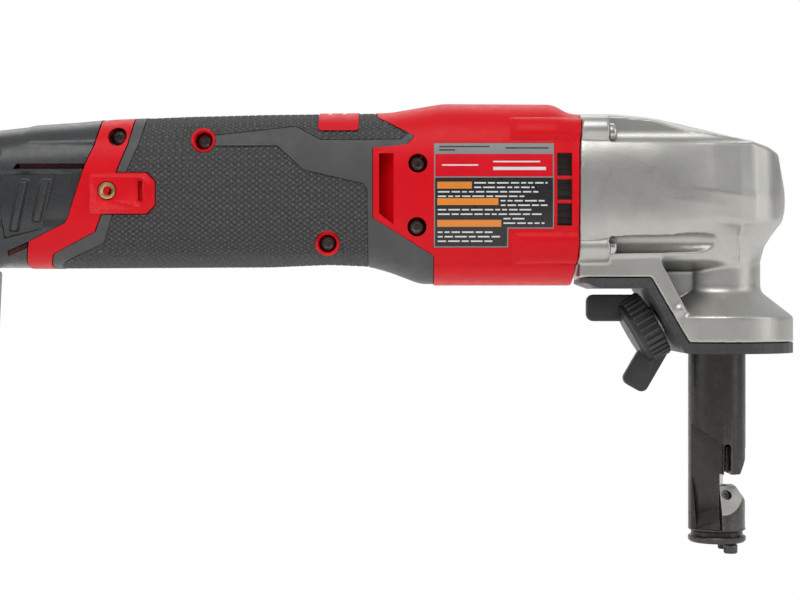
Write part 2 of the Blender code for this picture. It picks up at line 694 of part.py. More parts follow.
def die_holder():
    make_pivot("die_axis", (0, 0, 0))
    profile = ((3.6, 0), (9.6, 0), (10.4, 0.6), (10.4, 2.2), (9.4, 2.7), (9.4, 4.2), (TUBE_RADIUS, 4.7),
               (TUBE_RADIUS, 72.7), (COLLAR_RADIUS, 72.8), (COLLAR_RADIUS, 93), (9.0, 93), (9.0, 84),
               (5.7, 84), (5.7, 34.2), (3.6, 34.2))
    holder = add_mesh("die_holder", turned(profile, (0, 0, 0), (0, 0, 1), 28), "black_oxide", "die_axis")
    front = [(1.0, 4.7), (1.0, 35.3), (2.9, 35.3), (2.9, THROAT_Z[1]), (7.1, THROAT_Z[1]), (9.6, 30.2),
             (9.6, 34.0), (14.0, 34.0), (14.0, 4.7)]
    cut(holder, prism(front, "Y", -14.0, 14.0), "die_axis")
    for side in (-1, 1):
        flat = [(-14.0, 3.6), (1.2, 10.4), (1.2, 35.2), (-8.5, 42.2), (-14.0, 46.0)]
        cut(holder, prism(flat, "Y", *sorted((side * 5.2, side * 14.0))), "die_axis")
        arch = [(0.5, 20.0), (5.5, 20.0)] + circle(2.25, 7, (3.25, 33.0), 0, pi, False) + [(0.5, 33.0)]
        cut(holder, prism(arch, "Y", *sorted((side * 2.0, side * 14.0))), "die_axis")
    for y in (-6.0, 6.0):
        cut(holder, rod(1.8, (3.9, y, 0), (0, 0, 1), -2.0, 6.0, 8), "die_axis")


def die():
    outer, inner = 10.1, PUNCH_RADIUS + GAP
    left = 1.9
    start = acos(left / outer)
    hollow = acos(left / inner)
    outline = circle(outer, 17, (0, 0), -start, 2 * start, False)
    outline += circle(inner, 9, (0, 0), hollow, -2 * hollow, False)
    block = add_mesh("die", prism(outline, "Z", 5.0, THROAT_Z[0]), "die_steel", "die_axis")
    chamfer = [(6.0, THROAT_Z[0] + 0.1), (9.6, 15.1), (10.6, 12.0), (14.0, 12.0), (14.0, 24.0), (6.0, 24.0)]
    cut(block, prism(chamfer, "Y", -14.0, 14.0), "die_axis")
    for side in (-1, 1):
        facet = [(side * 6.2, 24.0), (side * 8.4, 10.0), (side * 14.0, 10.0), (side * 14.0, 24.0)]
        cut(block, prism(facet, "X", -2.0, 14.0), "die_axis")
    cut(block, rod(1.9, (4.8, 0, 16.4), (0, -1, 0), 4.6, 12.0, 12), "die_axis")
    for y in (-6.0, 6.0):
        cut(block, rod(1.8, (3.9, y, 0), (0, 0, 1), 2.0, 12.0, 8), "die_axis")
    add_mesh("die_screw", rod(1.6, (4.8, 0, 16.4), (0, -1, 0), 4.9, 6.4, 12), "steel", "die_axis")
    for number, y in enumerate((-6.0, 6.0), 1):
        profile = ((0, 11.6), (1.5, 11.6), (1.5, -GAP), (2.5, -GAP), (2.5, -3.2), (2.2, BOLT_BOTTOM_Z),
                   (1.3, BOLT_BOTTOM_Z), (1.3, -2.0), (0, -2.0))
        shape = turned(profile, (3.9, y, 0), (0, 0, 1), 10)
        add_mesh(f"die_bolt_{number}", shape, "black_oxide", "die_axis")


def punch():
    make_pivot("punch_axis", (0, 0, 22))
    profile = ((0, 18), (2.2, 18), (2.2, THROAT_Z[1] + 0.3), (PUNCH_RADIUS, THROAT_Z[1] + 0.3),
               (PUNCH_RADIUS, 40), (5.4, 40), (5.4, 88), (3.0, 88), (3.0, 100), (5.0, 100), (5.0, 103),
               (0, 103))
    add_mesh("punch", turned(profile, (0, 0, 0), (0, 0, 1), 16), "steel", "punch_axis")


def ram():
    make_pivot("ram_axis", (0, 0, MOTOR_Z))
    frame = [(-11.3, 114.6), (11.3, 114.6), (11.3, 140.6), (8.3, 143.6), (-8.3, 143.6), (-11.3, 140.6)]
    yoke = add_mesh("ram_yoke", prism(frame, "X", -4.0, 4.0), "steel", "ram_axis")
    join(yoke, rod(8.5, (0, 0, 0), (0, 0, 1), 96.0, 116.0, 24), "ram_axis")
    reach = CRANK_THROW + 5.9
    low, high = MOTOR_Z - reach, MOTOR_Z + reach + STROKE
    window = rounded([(-reach, low), (reach, low), (reach, high), (-reach, high)], 1.5, 2)
    cut(yoke, prism(window, "X", -14.0, 14.0), "ram_axis")
    cut(yoke, box((-5.3, 12.0), (-5.3, 5.3), (99.7, 103.4)), "ram_axis")
    cut(yoke, box((-3.3, 12.0), (-3.3, 3.3), (90.0, 100.0)), "ram_axis")
    add_mesh("ram_guide", ring(8.8, 11.9, (0, 0, 0), (0, 0, 1), 97.0, 108.5, 24), "brass")


# ---------------------------------------------------------------- gears and motor

def gear_outline(teeth, tip, root):
    """Outline of straight-sided teeth, with the first tooth's middle at angle 0."""
    pitch = 2 * pi / teeth
    outline = []
    for tooth in range(teeth):
        for share, radius in ((-0.3, root), (-0.12, tip), (0.12, tip), (0.3, root)):
            turn = pitch * (tooth + share)
            outline.append((radius * cos(turn), radius * sin(turn)))
    return outline


def turned_by(outline, angle, centre=(0.0, 0.0)):
    c, s = cos(angle), sin(angle)
    return [(centre[0] + a * c - b * s, centre[1] + a * s + b * c) for a, b in outline]


def gears():
    axis = (0.0, MOTOR_Z)
    sun_teeth = turned_by(gear_outline(SUN_TEETH, 4.25, 2.75), 0, axis)
    sun = add_mesh("sun_gear", prism(sun_teeth, "X", -50.0, -38.0), "steel", "motor_axis")
    cut(sun, rod(1.8, (0, *axis), (1, 0, 0), -60.0, -30.0, 12), "motor_axis")
    gear_ring = add_mesh("ring_gear", rod(21.4, (0, *axis), (1, 0, 0), -46.8, -37.6, 36), "steel")
    ring_teeth = turned_by(gear_outline(RING_TEETH, 17.35, 18.95), 0, axis)
    cut(gear_ring, prism(ring_teeth, "X", -50.0, -30.0))
    for number in range(3):
        place = 2 * pi * number / 3
        centre = (PLANET_ORBIT * cos(place), MOTOR_Z + PLANET_ORBIT * sin(place))
        pivot = f"planet_axis_{number + 1}"
        make_pivot(pivot, (0, *centre))
        teeth = turned_by(gear_outline(PLANET_TEETH, 7.85, 6.35), place + pi / PLANET_TEETH, centre)
        planet = add_mesh(f"planet_gear_{number + 1}", prism(teeth, "X", -46.4, -38.4), "steel", pivot)
        cut(planet, rod(2.3, (0, *centre), (1, 0, 0), -60.0, -30.0, 12), pivot)
        pin = rod(1.95, (0, *centre), (1, 0, 0), -47.2, -34.5, 12)
        add_mesh(f"planet_pin_{number + 1}", pin, "steel", "crank_axis")


def crankshaft():
    x_axis = (1, 0, 0)
    profile = ((0, -37.4), (14.6, -37.4), (14.6, -33.8), (6.0, -33.8), (6.0, -14.0), (10.4, -14.0),
               (10.4, -8.0), (0, -8.0))
    shaft = add_mesh("crankshaft", turned(profile, (0, 0, MOTOR_Z), x_axis, 24), "steel", "crank_axis")
    join(shaft, rod(3.0, (0, 0, MOTOR_Z + CRANK_THROW), x_axis, -9.0, 4.6, 16), "crank_axis")
    for number in range(3):
        place = 2 * pi * number / 3
        centre = (0, PLANET_ORBIT * cos(place), MOTOR_Z + PLANET_ORBIT * sin(place))
        cut(shaft, rod(2.25, centre, x_axis, -40.0, -34.3, 12), "crank_axis")
    bearing = ring(3.3, 5.5, (0, 0, MOTOR_Z + CRANK_THROW), x_axis, -4.4, 4.4, 20)
    add_mesh("crank_bearing", bearing, "steel", "crank_axis")
    for name, low in (("rear_bearing", -31.5), ("front_bearing", -20.8)):
        add_mesh(name, ring(6.3, 13.0, (0, 0, MOTOR_Z), x_axis, low, low + 6.0, 20), "steel")


def motor():
    x_axis, centre = (1, 0, 0), (0, 0, MOTOR_Z)
    profile = ((0, -101.2), (2.4, -101.2), (2.4, -94.0), (9.8, -94.0), (9.8, -72.0), (2.4, -72.0),
               (2.4, -50.6), (1.5, -50.6), (1.5, -37.9), (0, -37.9))
    add_mesh("rotor", turned(profile, centre, x_axis, 16), "steel", "motor_axis")
    stator = add_mesh("stator", rod(19.0, centre, x_axis, -93.0, -73.0, 32), "copper")
    slots = []
    for slot in range(6):
        for share, radius in ((0.0, 10.4), (0.21, 10.4), (0.42, 10.4), (0.46, 16.2), (0.71, 16.2),
                              (0.96, 16.2)):
            turn = 2 * pi * (slot + share) / 6
            slots.append((radius * cos(turn), MOTOR_Z + radius * sin(turn)))
    cut(stator, prism(slots, "X", -100.0, -60.0))
    blades = 9
    star = []
    for blade in range(blades):
        for share, radius in ((0.0, 6.0), (0.12, 17.2), (0.22, 17.6), (0.3, 6.0)):
            turn = 2 * pi * (blade + share) / blades
            star.append((radius * cos(turn), MOTOR_Z + radius * sin(turn)))
    fan = add_mesh("fan", prism(star, "X", -66.0, -61.0), "black_plastic", "motor_axis")
    join(fan, rod(17.9, centre, x_axis, -61.4, -60.2, 24), "motor_axis")
    cut(fan, rod(2.7, centre, x_axis, -70.0, -55.0, 16), "motor_axis")
    for name, low, high in (("motor_bearing_rear", -100.6, -97.1), ("motor_bearing_front", -54.5, -51.2)):
        add_mesh(name, ring(2.7, 8.0, centre, x_axis, low, high, 16), "steel")


# ---------------------------------------------------------------- electrics

def electrics():
    board = add_mesh("control_board", box((-160.0, -131.0), (-15.0, 15.0), (116.0, 118.0)), "board_green")
    join(board, box((-157.0, -137.0), (-12.0, 6.0), (117.5, 124.0)))
    join(board, box((-135.5, -132.0), (-8.0, 8.0), (117.5, 121.0)))
    for x in (-150.0, -142.0):
        join(board, rod(3.0, (x, 10.5, 0), (0, 0, 1), 117.5, 129.0, 16))
    base = box((-165.4, -161.2), (-12.0, 12.0), (112.0, 132.0))
    terminal = add_mesh("terminal_block", base, "black_plastic")
    for y in (-7.0, 0.0, 7.0):
        join(terminal, box((-170.0, -165.0), (y - 0.4, y + 0.4), (119.0, 125.0)))
    add_mesh("switch_module", box((-128.0, -114.0), (-11.0, 11.0), (119.0, 148.2)), "black_plastic")
    slide = add_mesh("slide_switch", box((-98.0, -80.0), (-7.0, 7.0), (150.6, 156.2)), "black_plastic")
    for x in (-94.5, -90.5, -86.5, -82.5):
        ridge = [(x - 1.2, 155.8), (x + 1.2, 155.8), (x + 0.3, 157.4), (x - 0.3, 157.4)]
        join(slide, prism(ridge, "Y", -6.6, 6.6))
    join(slide, box((-113.4, -84.0), (-3.0, 3.0), (148.6, 151.2)))


# ---------------------------------------------------------------- battery

def stem_outline(radius):
    """Outline round the three stem cells, in Y and Z."""
    outline = []
    for (y, z), middle in zip(STEM_CELLS, (150, 30, 270)):
        outline += circle(radius, 9, (y, z), radians(middle + 60), -radians(120), False)
    return outline


def body_ring(place, inset):
    left = [placed_point(place, t, inset, -1) for t in HALF_TURNS]
    right = [placed_point(place, t, inset, 1) for t in reversed(HALF_TURNS)]
    return left + right


def battery():
    make_pivot("battery_axis", (-240, 0, 122))
    pivot = "battery_axis"
    edge = border(BATTERY_BORDER, -1.0)
    middle = between(lambda z: -258.0, edge, 0.5)
    rings = [body_ring(-268.0, 0.3), body_ring(-258.0, 0.0), body_ring(middle, 0.0), body_ring(edge, 0.0),
             body_ring(edge, 3.2)]
    case = add_mesh("battery_case", loft(rings), "dark_plastic", pivot)
    join(case, prism(stem_outline(STEM_RADIUS), "X", -250.0, -166.0), pivot)
    cut(case, loft([body_ring(-272.0, 3.0), body_ring(-249.0, 3.0)]), pivot)
    cut(case, prism(stem_outline(CELL_RADIUS + 0.3), "X", -270.0, -175.0), pivot)
    for y in (-7.0, 0.0, 7.0):
        cut(case, box((-171.5, -160.0), (y - 0.9, y + 0.9), (118.2, 125.8)), pivot)
    for side in (-1, 1):
        cut(case, box((-256.0, -238.0), sorted((side * 20.8, side * BEYOND_BODY)), LATCH_Z), pivot)
    side_view = [(REAR_X, FOOT_BOTTOM_Z), (-269.4, FOOT_BOTTOM_Z), (-265.8, 98.4), (-268.4, 98.4),
                 (-268.4, 146.4), (REAR_X, 142.0)]
    blank = prism(side_view, "Y", -HALF_WIDTH_MAX, HALF_WIDTH_MAX)
    foot = add_mesh("battery_foot", blank, "pale_plastic", pivot)
    plan = rounded([(REAR_X, -HALF_WIDTH_MAX), (-264.5, -HALF_WIDTH_MAX), (-264.5, HALF_WIDTH_MAX),
                    (REAR_X, HALF_WIDTH_MAX)], 5.0, 4)
    combine(foot, "INTERSECT", prism(plan, "Z", 50.0, 160.0), pivot)
    cut(foot, box((-294.4, -272.4), (-28.3, 28.3), (69.0, 98.2)), pivot)
    cut(foot, box((-294.4, -260.0), (-28.3, 28.3), (98.1, 138.6)), pivot)
    for number, (y, z) in enumerate(STEM_CELLS, 1):
        cell = rod(CELL_RADIUS, (0, y, z), (1, 0, 0), -240.6, -240.6 + CELL_LENGTH, 16)
        add_mesh(f"battery_cell_{number}", cell, "cell_wrap", pivot)
    for number, y in enumerate((-18.8, 0.0, 18.8), 4):
        cell = rod(CELL_RADIUS, (-284.6, y, 0), (0, 0, 1), 70.5, 70.5 + CELL_LENGTH, 16)
        add_mesh(f"battery_cell_{number}", cell, "cell_wrap", pivot)
    for name, side in (("battery_latch_right", -1), ("battery_latch_left", 1)):
        make_pivot(f"{name}_axis", (-247, side * 23, 122))
        button = [(-255.5, 22.6), (-238.5, 22.6), (-238.5, 25.6), (-240.0, 26.4), (-254.0, 26.1),
                  (-255.5, 25.3)]
        shape = prism([(x, side * y) for x, y in button], "Z", LATCH_Z[0] + 0.5, LATCH_Z[1] - 0.5)
        add_mesh(name, shape, "black_plastic", f"{name}_axis")


def build():
    clear_scene()
    make_root()
    make_pivot("motor_axis", (-75, 0, MOTOR_Z))
    make_pivot("crank_axis", (-20, 0, MOTOR_Z))
    housing("housing_right", -1)
    housing("housing_left", 1)
    grip_cover("grip_right", -1)
    grip_cover("grip_left", 1)
    rating_plate()
    hanger_insert()
    housing_screws()
    gearcase()
    gearcase_screws()
    clamp_plate()
    clamp_knob()
    die_holder()
    die()
    punch()
    ram()
    gears()
    crankshaft()
    motor()
    electrics()
    battery()


build()
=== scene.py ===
"""Looks of the cordless sheet nibbler: fine shells, relief, procedural materials, studio and camera.

Lengths are in millimetres in the tool's own design frame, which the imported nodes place: the punch
axis is x = 0, y = 0 and z = 0 is the lower face of the die holder. -Y is the right side.
"""

from math import acos, atan2, cos, pi, radians, sin

import bmesh
import bpy
import numpy as np
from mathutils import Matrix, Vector


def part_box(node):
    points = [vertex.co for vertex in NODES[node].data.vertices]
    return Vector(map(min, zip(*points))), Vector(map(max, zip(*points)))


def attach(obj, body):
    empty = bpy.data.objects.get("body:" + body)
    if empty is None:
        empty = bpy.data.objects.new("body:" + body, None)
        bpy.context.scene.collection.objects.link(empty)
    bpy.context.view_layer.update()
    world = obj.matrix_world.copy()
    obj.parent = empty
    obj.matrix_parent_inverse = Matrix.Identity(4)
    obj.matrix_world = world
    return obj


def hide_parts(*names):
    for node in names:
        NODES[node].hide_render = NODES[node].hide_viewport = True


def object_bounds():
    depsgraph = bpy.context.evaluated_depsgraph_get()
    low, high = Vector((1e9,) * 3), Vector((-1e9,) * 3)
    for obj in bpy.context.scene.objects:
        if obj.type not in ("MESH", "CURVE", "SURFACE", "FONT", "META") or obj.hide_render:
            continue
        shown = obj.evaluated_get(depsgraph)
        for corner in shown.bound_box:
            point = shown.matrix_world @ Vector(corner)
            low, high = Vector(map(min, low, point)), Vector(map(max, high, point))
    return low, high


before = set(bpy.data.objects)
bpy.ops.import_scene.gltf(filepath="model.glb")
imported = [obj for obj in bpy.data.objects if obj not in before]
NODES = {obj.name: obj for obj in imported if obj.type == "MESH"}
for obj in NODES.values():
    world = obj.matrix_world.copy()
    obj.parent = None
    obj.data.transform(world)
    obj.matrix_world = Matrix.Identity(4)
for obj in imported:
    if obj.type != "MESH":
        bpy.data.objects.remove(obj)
cad_low, cad_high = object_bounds()

MM = 0.001
GAP = 0.3
RIGHT = (0, -1, 0)
FORWARD = (1, 0, 0)
UP = (0, 0, 1)


def middle_of(node):
    low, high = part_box(node)
    return (low + high) / 2


ORIGIN = Vector((middle_of("punch").x, 0.0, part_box("die_holder")[0].z))


def inside(node):
    """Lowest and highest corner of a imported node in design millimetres."""
    low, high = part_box(node)
    return (low - ORIGIN) / MM, (high - ORIGIN) / MM


# Body outline along X: top line, bottom line and half width
REAR_X = inside("battery_foot")[0].x
NOSE_END_X = inside("housing_right")[1].x
TOP_LINE = ((REAR_X, 146), (-268, 148), (-249, 150.2), (-231, 151.4), (-217, 152.7), (-190, 153.8),
            (-162, 154.5), (-119, 155.0), (-100, 158.2), (-60.5, 158.0), (-54.7, 154.6), (-50.4, 154.5))
BOTTOM_LINE = ((REAR_X, 98.9), (-240, 98.9), (-162, 99.3), (-141, 100.2), (-126, 99.6),
               (-118.5, 97.5), (-107.8, 93.4), (-50.4, 93.4))
HALF_WIDTH_LINE = ((REAR_X, 24.6), (-230, 25.9), (-130, 26.2), (-105, 29.4), (-98, 30), (-60, 30),
                   (-50.4, 29))
BODY_ROUNDNESS = 2.8
# Depths below the body's surface: inside of the shell, inside of the grip, and the grip's seat
SHELL = 2.8
SKIN = 1.5
SEAT = 2.1

# Slanted borders between the zones of the body, as (x, z) points from the bottom up, and the
# heights that they are run on to
BELOW = 80.0
ABOVE = 175.0
BATTERY_BORDER = ((-248.0, 98.8), (-246.6, 103.5), (-245.3, 108.1), (-232.4, 114.4), (-231.3, 116.0),
                  (-225.2, 134.8), (-222.1, 142.0), (-221.0, 148.0), (-221.0, 154.0))
BAND_BORDER = ((-239.6, 98.8), (-237.3, 103.7), (-221.9, 111.4), (-219.3, 117.7), (-213.7, 133.7),
               (-210.5, 142.0), (-209.4, 148.0), (-209.4, 154.0))
BEAD_BORDER = ((-237.3, 98.8), (-234.0, 101.1), (-218.9, 107.4), (-215.2, 117.7), (-210.0, 133.6),
               (-206.4, 142.3), (-205.1, 149.0), (-205.1, 154.0))
NOSE_BORDER = ((-103.0, 93.4), (-103.2, 103.0), (-124.5, 116.3), (-124.5, 140.7), (-112.5, 141.9),
               (-109.9, 144.9), (-122.5, 152.0), (-124.0, 155.0))
# Front edge of the knurled panel, from the bottom up, round the smooth inlay
KNURL_EDGE = ((-126.5, 98.0), (-126.6, 126.0), (-128.2, 128.2), (-149.0, 133.0), (-158.1, 141.4),
              (-180.2, 141.4), (-180.2, 145.5), (-151.6, 148.9), (-142.9, 143.9), (-114.9, 143.9),
              (-112.6, 145.8), (-122.6, 152.1), (-124.6, 155.0))

GRIP_SCREWS = ((-184.0, 143.5), (-140.6, 107.5))
BAND_SCREW = (-214.4, 145.1)
NOSE_SCREWS = ((-108.9, 135.2), (-109.2, 113.1))
HEAD_RADIUS = 2.9
WELL_RADIUS = 3.35
HOUSING_SCREW_SEATS = ((*BAND_SCREW, -14.5), *((x, z, -15.5) for x, z in GRIP_SCREWS),
                       *((x, z, -22.5) for x, z in NOSE_SCREWS))
INSERT = (-217.2, 125.7)
MOTOR_Z = 127.0


# ---------------------------------------------------------------- shapes

def loft(rings):
    """Skin equal rings of points, and close both ends with a flat face."""
    count = len(rings[0])
    points = [p for ring in rings for p in ring]
    faces = [tuple(range(count)), tuple(len(points) - 1 - i for i in range(count))]
    for row in range(len(rings) - 1):
        for i in range(count):
            j = (i + 1) % count
            a = row * count
            faces.append((a + i, a + j, a + count + j, a + count + i))
    return points, faces


AXES = {"X": (1, 2, 0), "Y": (0, 2, 1), "Z": (0, 1, 2)}


def prism(outline, axis, low, high):
    """Extrude an outline given in the two other axes, in alphabetical order."""
    first, second, third = AXES[axis]
    rings = []
    for level in (low, high):
        ring = []
        for a, b in outline:
            point = [0.0, 0.0, 0.0]
            point[first], point[second], point[third] = a, b, level
            ring.append(tuple(point))
        rings.append(ring)
    return loft(rings)


def slab(outline, half_width=40.0):
    """Extrude an outline in X and Z to half_width on both sides of the middle plane."""
    return prism(outline, "Y", -half_width, half_width)


def right_slab(outline):
    """Extrude an outline in X and Z from beyond the right side to just past the middle plane."""
    return prism(outline, "Y", -40.0, 10.0)


def block(x, y, z):
    return prism(((x[0], y[0]), (x[1], y[0]), (x[1], y[1]), (x[0], y[1])), "Z", *z)


def square_to(axis):
    """The axis as a unit vector, and two directions square to it."""
    axis = Vector(axis).normalized()
    side = axis.cross(Vector((0, 1, 0)) if abs(axis.y) < 0.9 else Vector((1, 0, 0))).normalized()
    return axis, side, axis.cross(side)


def turned(profile, centre, axis, steps=64):
    """Turn a profile of (radius, distance along the axis) points, closed or ending on the axis."""
    axis, side, up = square_to(axis)
    centre = Vector(centre)
    points, rows = [], []
    for radius, along in profile:
        if radius == 0:
            rows.append([len(points)] * steps)
            points.append(centre + axis * along)
            continue
        rows.append(list(range(len(points), len(points) + steps)))
        for k in range(steps):
            turn = 2 * pi * k / steps
            points.append(centre + axis * along + (side * cos(turn) + up * sin(turn)) * radius)
    faces = []
    closed = profile[0][0] > 0 and profile[-1][0] > 0
    for row, following in list(zip(rows, rows[1:])) + [(rows[-1], rows[0])] * closed:
        for k in range(steps):
            j = (k + 1) % steps
            face = tuple(dict.fromkeys((row[k], row[j], following[j], following[k])))
            if len(face) > 2:
                faces.append(face)
    return points, faces


def rod(radius, centre, axis, low, high, steps=48):
    return turned(((0, low), (radius, low), (radius, high), (0, high)), centre, axis, steps)


def circle(radius, steps, centre=(0.0, 0.0), start=0.0, sweep=2 * pi, closed=True):
    last = steps if closed else steps - 1
    return [(centre[0] + radius * cos(start + sweep * k / last),
             centre[1] + radius * sin(start + sweep * k / last)) for k in range(steps)]


def rounded(corners, radius, steps=4):
    """Round the corners of an outline with arcs of one radius, or of one for each corner."""
    outline = []
    count = len(corners)
    radii = radius if isinstance(radius, (list, tuple)) else [radius] * count
    for i, corner in enumerate(corners):
        here = Vector(corner)
        before = (Vector(corners[i - 1]) - here).normalized()
        after = (Vector(corners[(i + 1) % count]) - here).normalized()
        half = acos(max(-1.0, min(1.0, before.dot(after)))) / 2
        if radii[i] == 0 or half > 1.5:
            outline.append(tuple(corner))
            continue
        reach = radii[i] / np.tan(half)
        centre = here + (before + after).normalized() * (radii[i] / sin(half))
        start = here + before * reach - centre
        end = here + after * reach - centre
        turn = atan2(start.x * end.y - start.y * end.x, start.dot(end))
        for k in range(steps + 1):
            angle = atan2(start.y, start.x) + turn * k / steps
            outline.append((centre.x + radii[i] * cos(angle), centre.y + radii[i] * sin(angle)))
    return outline


def grown(outline, shift):
    """Outline moved out by shift along its corners, which run anticlockwise."""
    made = []
    for i, point in enumerate(outline):
        here = Vector(point)
        before = (here - Vector(outline[i - 1])).normalized()
        after = (Vector(outline[(i + 1) % len(outline)]) - here).normalized()
        corner = Vector((before.y + after.y, -before.x - after.x)).normalized()
        made.append(tuple(here + corner * shift / max(0.35, corner.dot(Vector((before.y, -before.x))))))
    return made


def together(*shapes):
    """Put several shapes that don't touch into one list of points and faces."""
    points, faces = [], []
    for more_points, more_faces in shapes:
        start = len(points)
        points += [tuple(p) for p in more_points]
        faces += [tuple(start + i for i in face) for face in more_faces]
    return points, faces


def mirrored(shape):
    points, faces = shape
    return [(x, -y, z) for x, y, z in points], [tuple(reversed(face)) for face in faces]


def solid(name, shape):
    """Make an object from (points, faces) in design millimetres."""
    points, faces = shape
    places = np.asarray([tuple(p) for p in points], float) * MM + np.array(ORIGIN)
    mesh = bpy.data.meshes.new(name)
    mesh.from_pydata(places.tolist(), [], faces)
    work = bmesh.new()
    work.from_mesh(mesh)
    bmesh.ops.recalc_face_normals(work, faces=work.faces)
    work.to_mesh(mesh)
    work.free()
    obj = bpy.data.objects.new(name, mesh)
    bpy.context.scene.collection.objects.link(obj)
    return obj


def bake(obj):
    """Turn obj's modifiers into its mesh."""
    bpy.context.view_layer.update()
    depsgraph = bpy.context.evaluated_depsgraph_get()
    mesh = bpy.data.meshes.new_from_object(obj.evaluated_get(depsgraph))
    obj.modifiers.clear()
    obj.data = mesh
    return obj


def combine(obj, operation, *shapes):
    """Join, cut or trim obj with shapes, which are (points, faces) or objects, and drop them."""
    tools = []
    for shape in shapes:
        tool = shape if isinstance(shape, bpy.types.Object) else solid("tool", shape)
        modifier = obj.modifiers.new(operation, "BOOLEAN")
        modifier.operation = operation
        modifier.solver = "EXACT"
        modifier.object = tool
        tools.append(tool)
    bake(obj)
    for tool in tools:
        bpy.data.objects.remove(tool, do_unlink=True)
    return obj


def cut(obj, *shapes):
    return combine(obj, "DIFFERENCE", *shapes)


def join(obj, *shapes):
    return combine(obj, "UNION", *shapes)


def trim(obj, *shapes):
    return combine(obj, "INTERSECT", *shapes)


def copy_of(obj, name, mirror=False):
    """A copy of obj, mirrored about the middle plane if asked."""
    made = obj.copy()
    made.data = obj.data.copy()
    made.name = name
    bpy.context.scene.collection.objects.link(made)
    if mirror:
        for vertex in made.data.vertices:
            vertex.co.y = -vertex.co.y
        made.data.flip_normals()
    return made


def merge(obj, *others):
    """Add the meshes of other objects to obj as separate closed bodies."""
    work = bmesh.new()
    work.from_mesh(obj.data)
    for other in others:
        work.from_mesh(other.data)
        bpy.data.objects.remove(other, do_unlink=True)
    work.to_mesh(obj.data)
    work.free()
    return obj


def smooth(obj, angle=35.0):
    obj.data.shade_smooth()
    obj.data.set_sharp_from_angle(angle=radians(angle))
    return obj


def soften(obj, width, segments=2, angle=30.0):
    """Round obj's sharp edges."""
    bevel = obj.modifiers.new("Bevel", "BEVEL")
    bevel.width = width * MM
    bevel.segments = segments
    bevel.limit_method = "ANGLE"
    bevel.angle_limit = radians(angle)
    return obj


# ---------------------------------------------------------------- materials

class Paint:
    """Builds one procedural material on object coordinates, in metres."""

    def __init__(self, name, roughness, metallic=0.0, **sockets):
        self.material = bpy.data.materials.new(name)
        self.material.use_nodes = True
        self.tree = self.material.node_tree
        self.shader = self.tree.nodes["Principled BSDF"]
        self.shader.inputs["Roughness"].default_value = roughness
        self.shader.inputs["Metallic"].default_value = metallic
        for socket, value in sockets.items():
            self.shader.inputs[socket.replace("_", " ")].default_value = value
        self.place = self.add("ShaderNodeTexCoord").outputs["Object"]
        self.normal = None

    def add(self, kind, **values):
        node = self.tree.nodes.new(kind)
        for name, value in values.items():
            setattr(node, name, value)
        return node

    def wire(self, source, target):
        self.tree.links.new(source, target)

    def noise(self, size, detail=3.0, stretch=None):
        """Noise with features of about size millimetres."""
        node = self.add("ShaderNodeTexNoise")
        node.inputs["Scale"].default_value = 1000.0 / size
        node.inputs["Detail"].default_value = detail
        place = self.place
        if stretch:
            mapping = self.add("ShaderNodeMapping")
            mapping.inputs["Scale"].default_value = stretch
            self.wire(place, mapping.inputs["Vector"])
            place = mapping.outputs["Vector"]
        self.wire(place, node.inputs["Vector"])
        return node.outputs["Fac"]

    def spread(self, factor, low, high, start=0.3, end=0.7):
        node = self.add("ShaderNodeMapRange")
        for socket, value in (("From Min", start), ("From Max", end), ("To Min", low), ("To Max", high)):
            node.inputs[socket].default_value = value
        self.wire(factor, node.inputs["Value"])
        return node.outputs["Result"]

    def blend(self, factor, first, second):
        node = self.add("ShaderNodeMix", data_type="RGBA")
        self.wire(factor, node.inputs["Factor"])
        for socket, value in ((node.inputs["A"], first), (node.inputs["B"], second)):
            if isinstance(value, tuple):
                socket.default_value = (*value, 1.0)
            else:
                self.wire(value, socket)
        return node.outputs["Result"]

    def mottled(self, first, second, size, detail, amount=1.0):
        """Mix patches of second, of about size millimetres, into first."""
        return self.blend(self.spread(self.noise(size, detail), 0.0, amount), first, second)

    def colour(self, source):
        self.wire(source, self.shader.inputs["Base Color"])
        return self

    def rough(self, factor, low, high):
        self.wire(self.spread(factor, low, high), self.shader.inputs["Roughness"])
        return self

    def bump(self, height, depth):
        """Raise the surface by height times depth in millimetres."""
        node = self.add("ShaderNodeBump")
        node.inputs["Distance"].default_value = depth * MM
        self.wire(height, node.inputs["Height"])
        if self.normal:
            self.wire(self.normal, node.inputs["Normal"])
        self.normal = node.outputs["Normal"]
        self.wire(self.normal, self.shader.inputs["Normal"])
        return self

    def edge_wear_and_highlight(self, base, tone, reach=0.06, amount=0.5):
        """Mix in tone on convex edges, broken up by noise: partly edge wear, partly a painted highlight."""
        geometry = self.add("ShaderNodeNewGeometry")
        edge = self.spread(geometry.outputs["Pointiness"], 0.0, amount, 0.5 + reach / 2, 0.5 + reach * 2)
        broken = self.add("ShaderNodeMath", operation="MULTIPLY")
        self.wire(edge, broken.inputs[0])
        self.wire(self.spread(self.noise(1.2, 4.0), 0.2, 1.0), broken.inputs[1])
        return self.blend(broken.outputs["Value"], base, tone)

    def painted_hollow_shade(self, base, tone, distance, amount):
        """Painted shade: mix in tone deep inside the piece's own hollows, where shadow falls."""
        hollow = self.add("ShaderNodeAmbientOcclusion", samples=8, only_local=True)
        hollow.inputs["Distance"].default_value = distance * MM
        return self.blend(self.spread(hollow.outputs["AO"], amount, 0.0, 0.15, 0.62), base, tone)


def shade(colour, factor):
    """A colour made lighter or darker."""
    return tuple(min(1.0, c * factor) for c in colour)


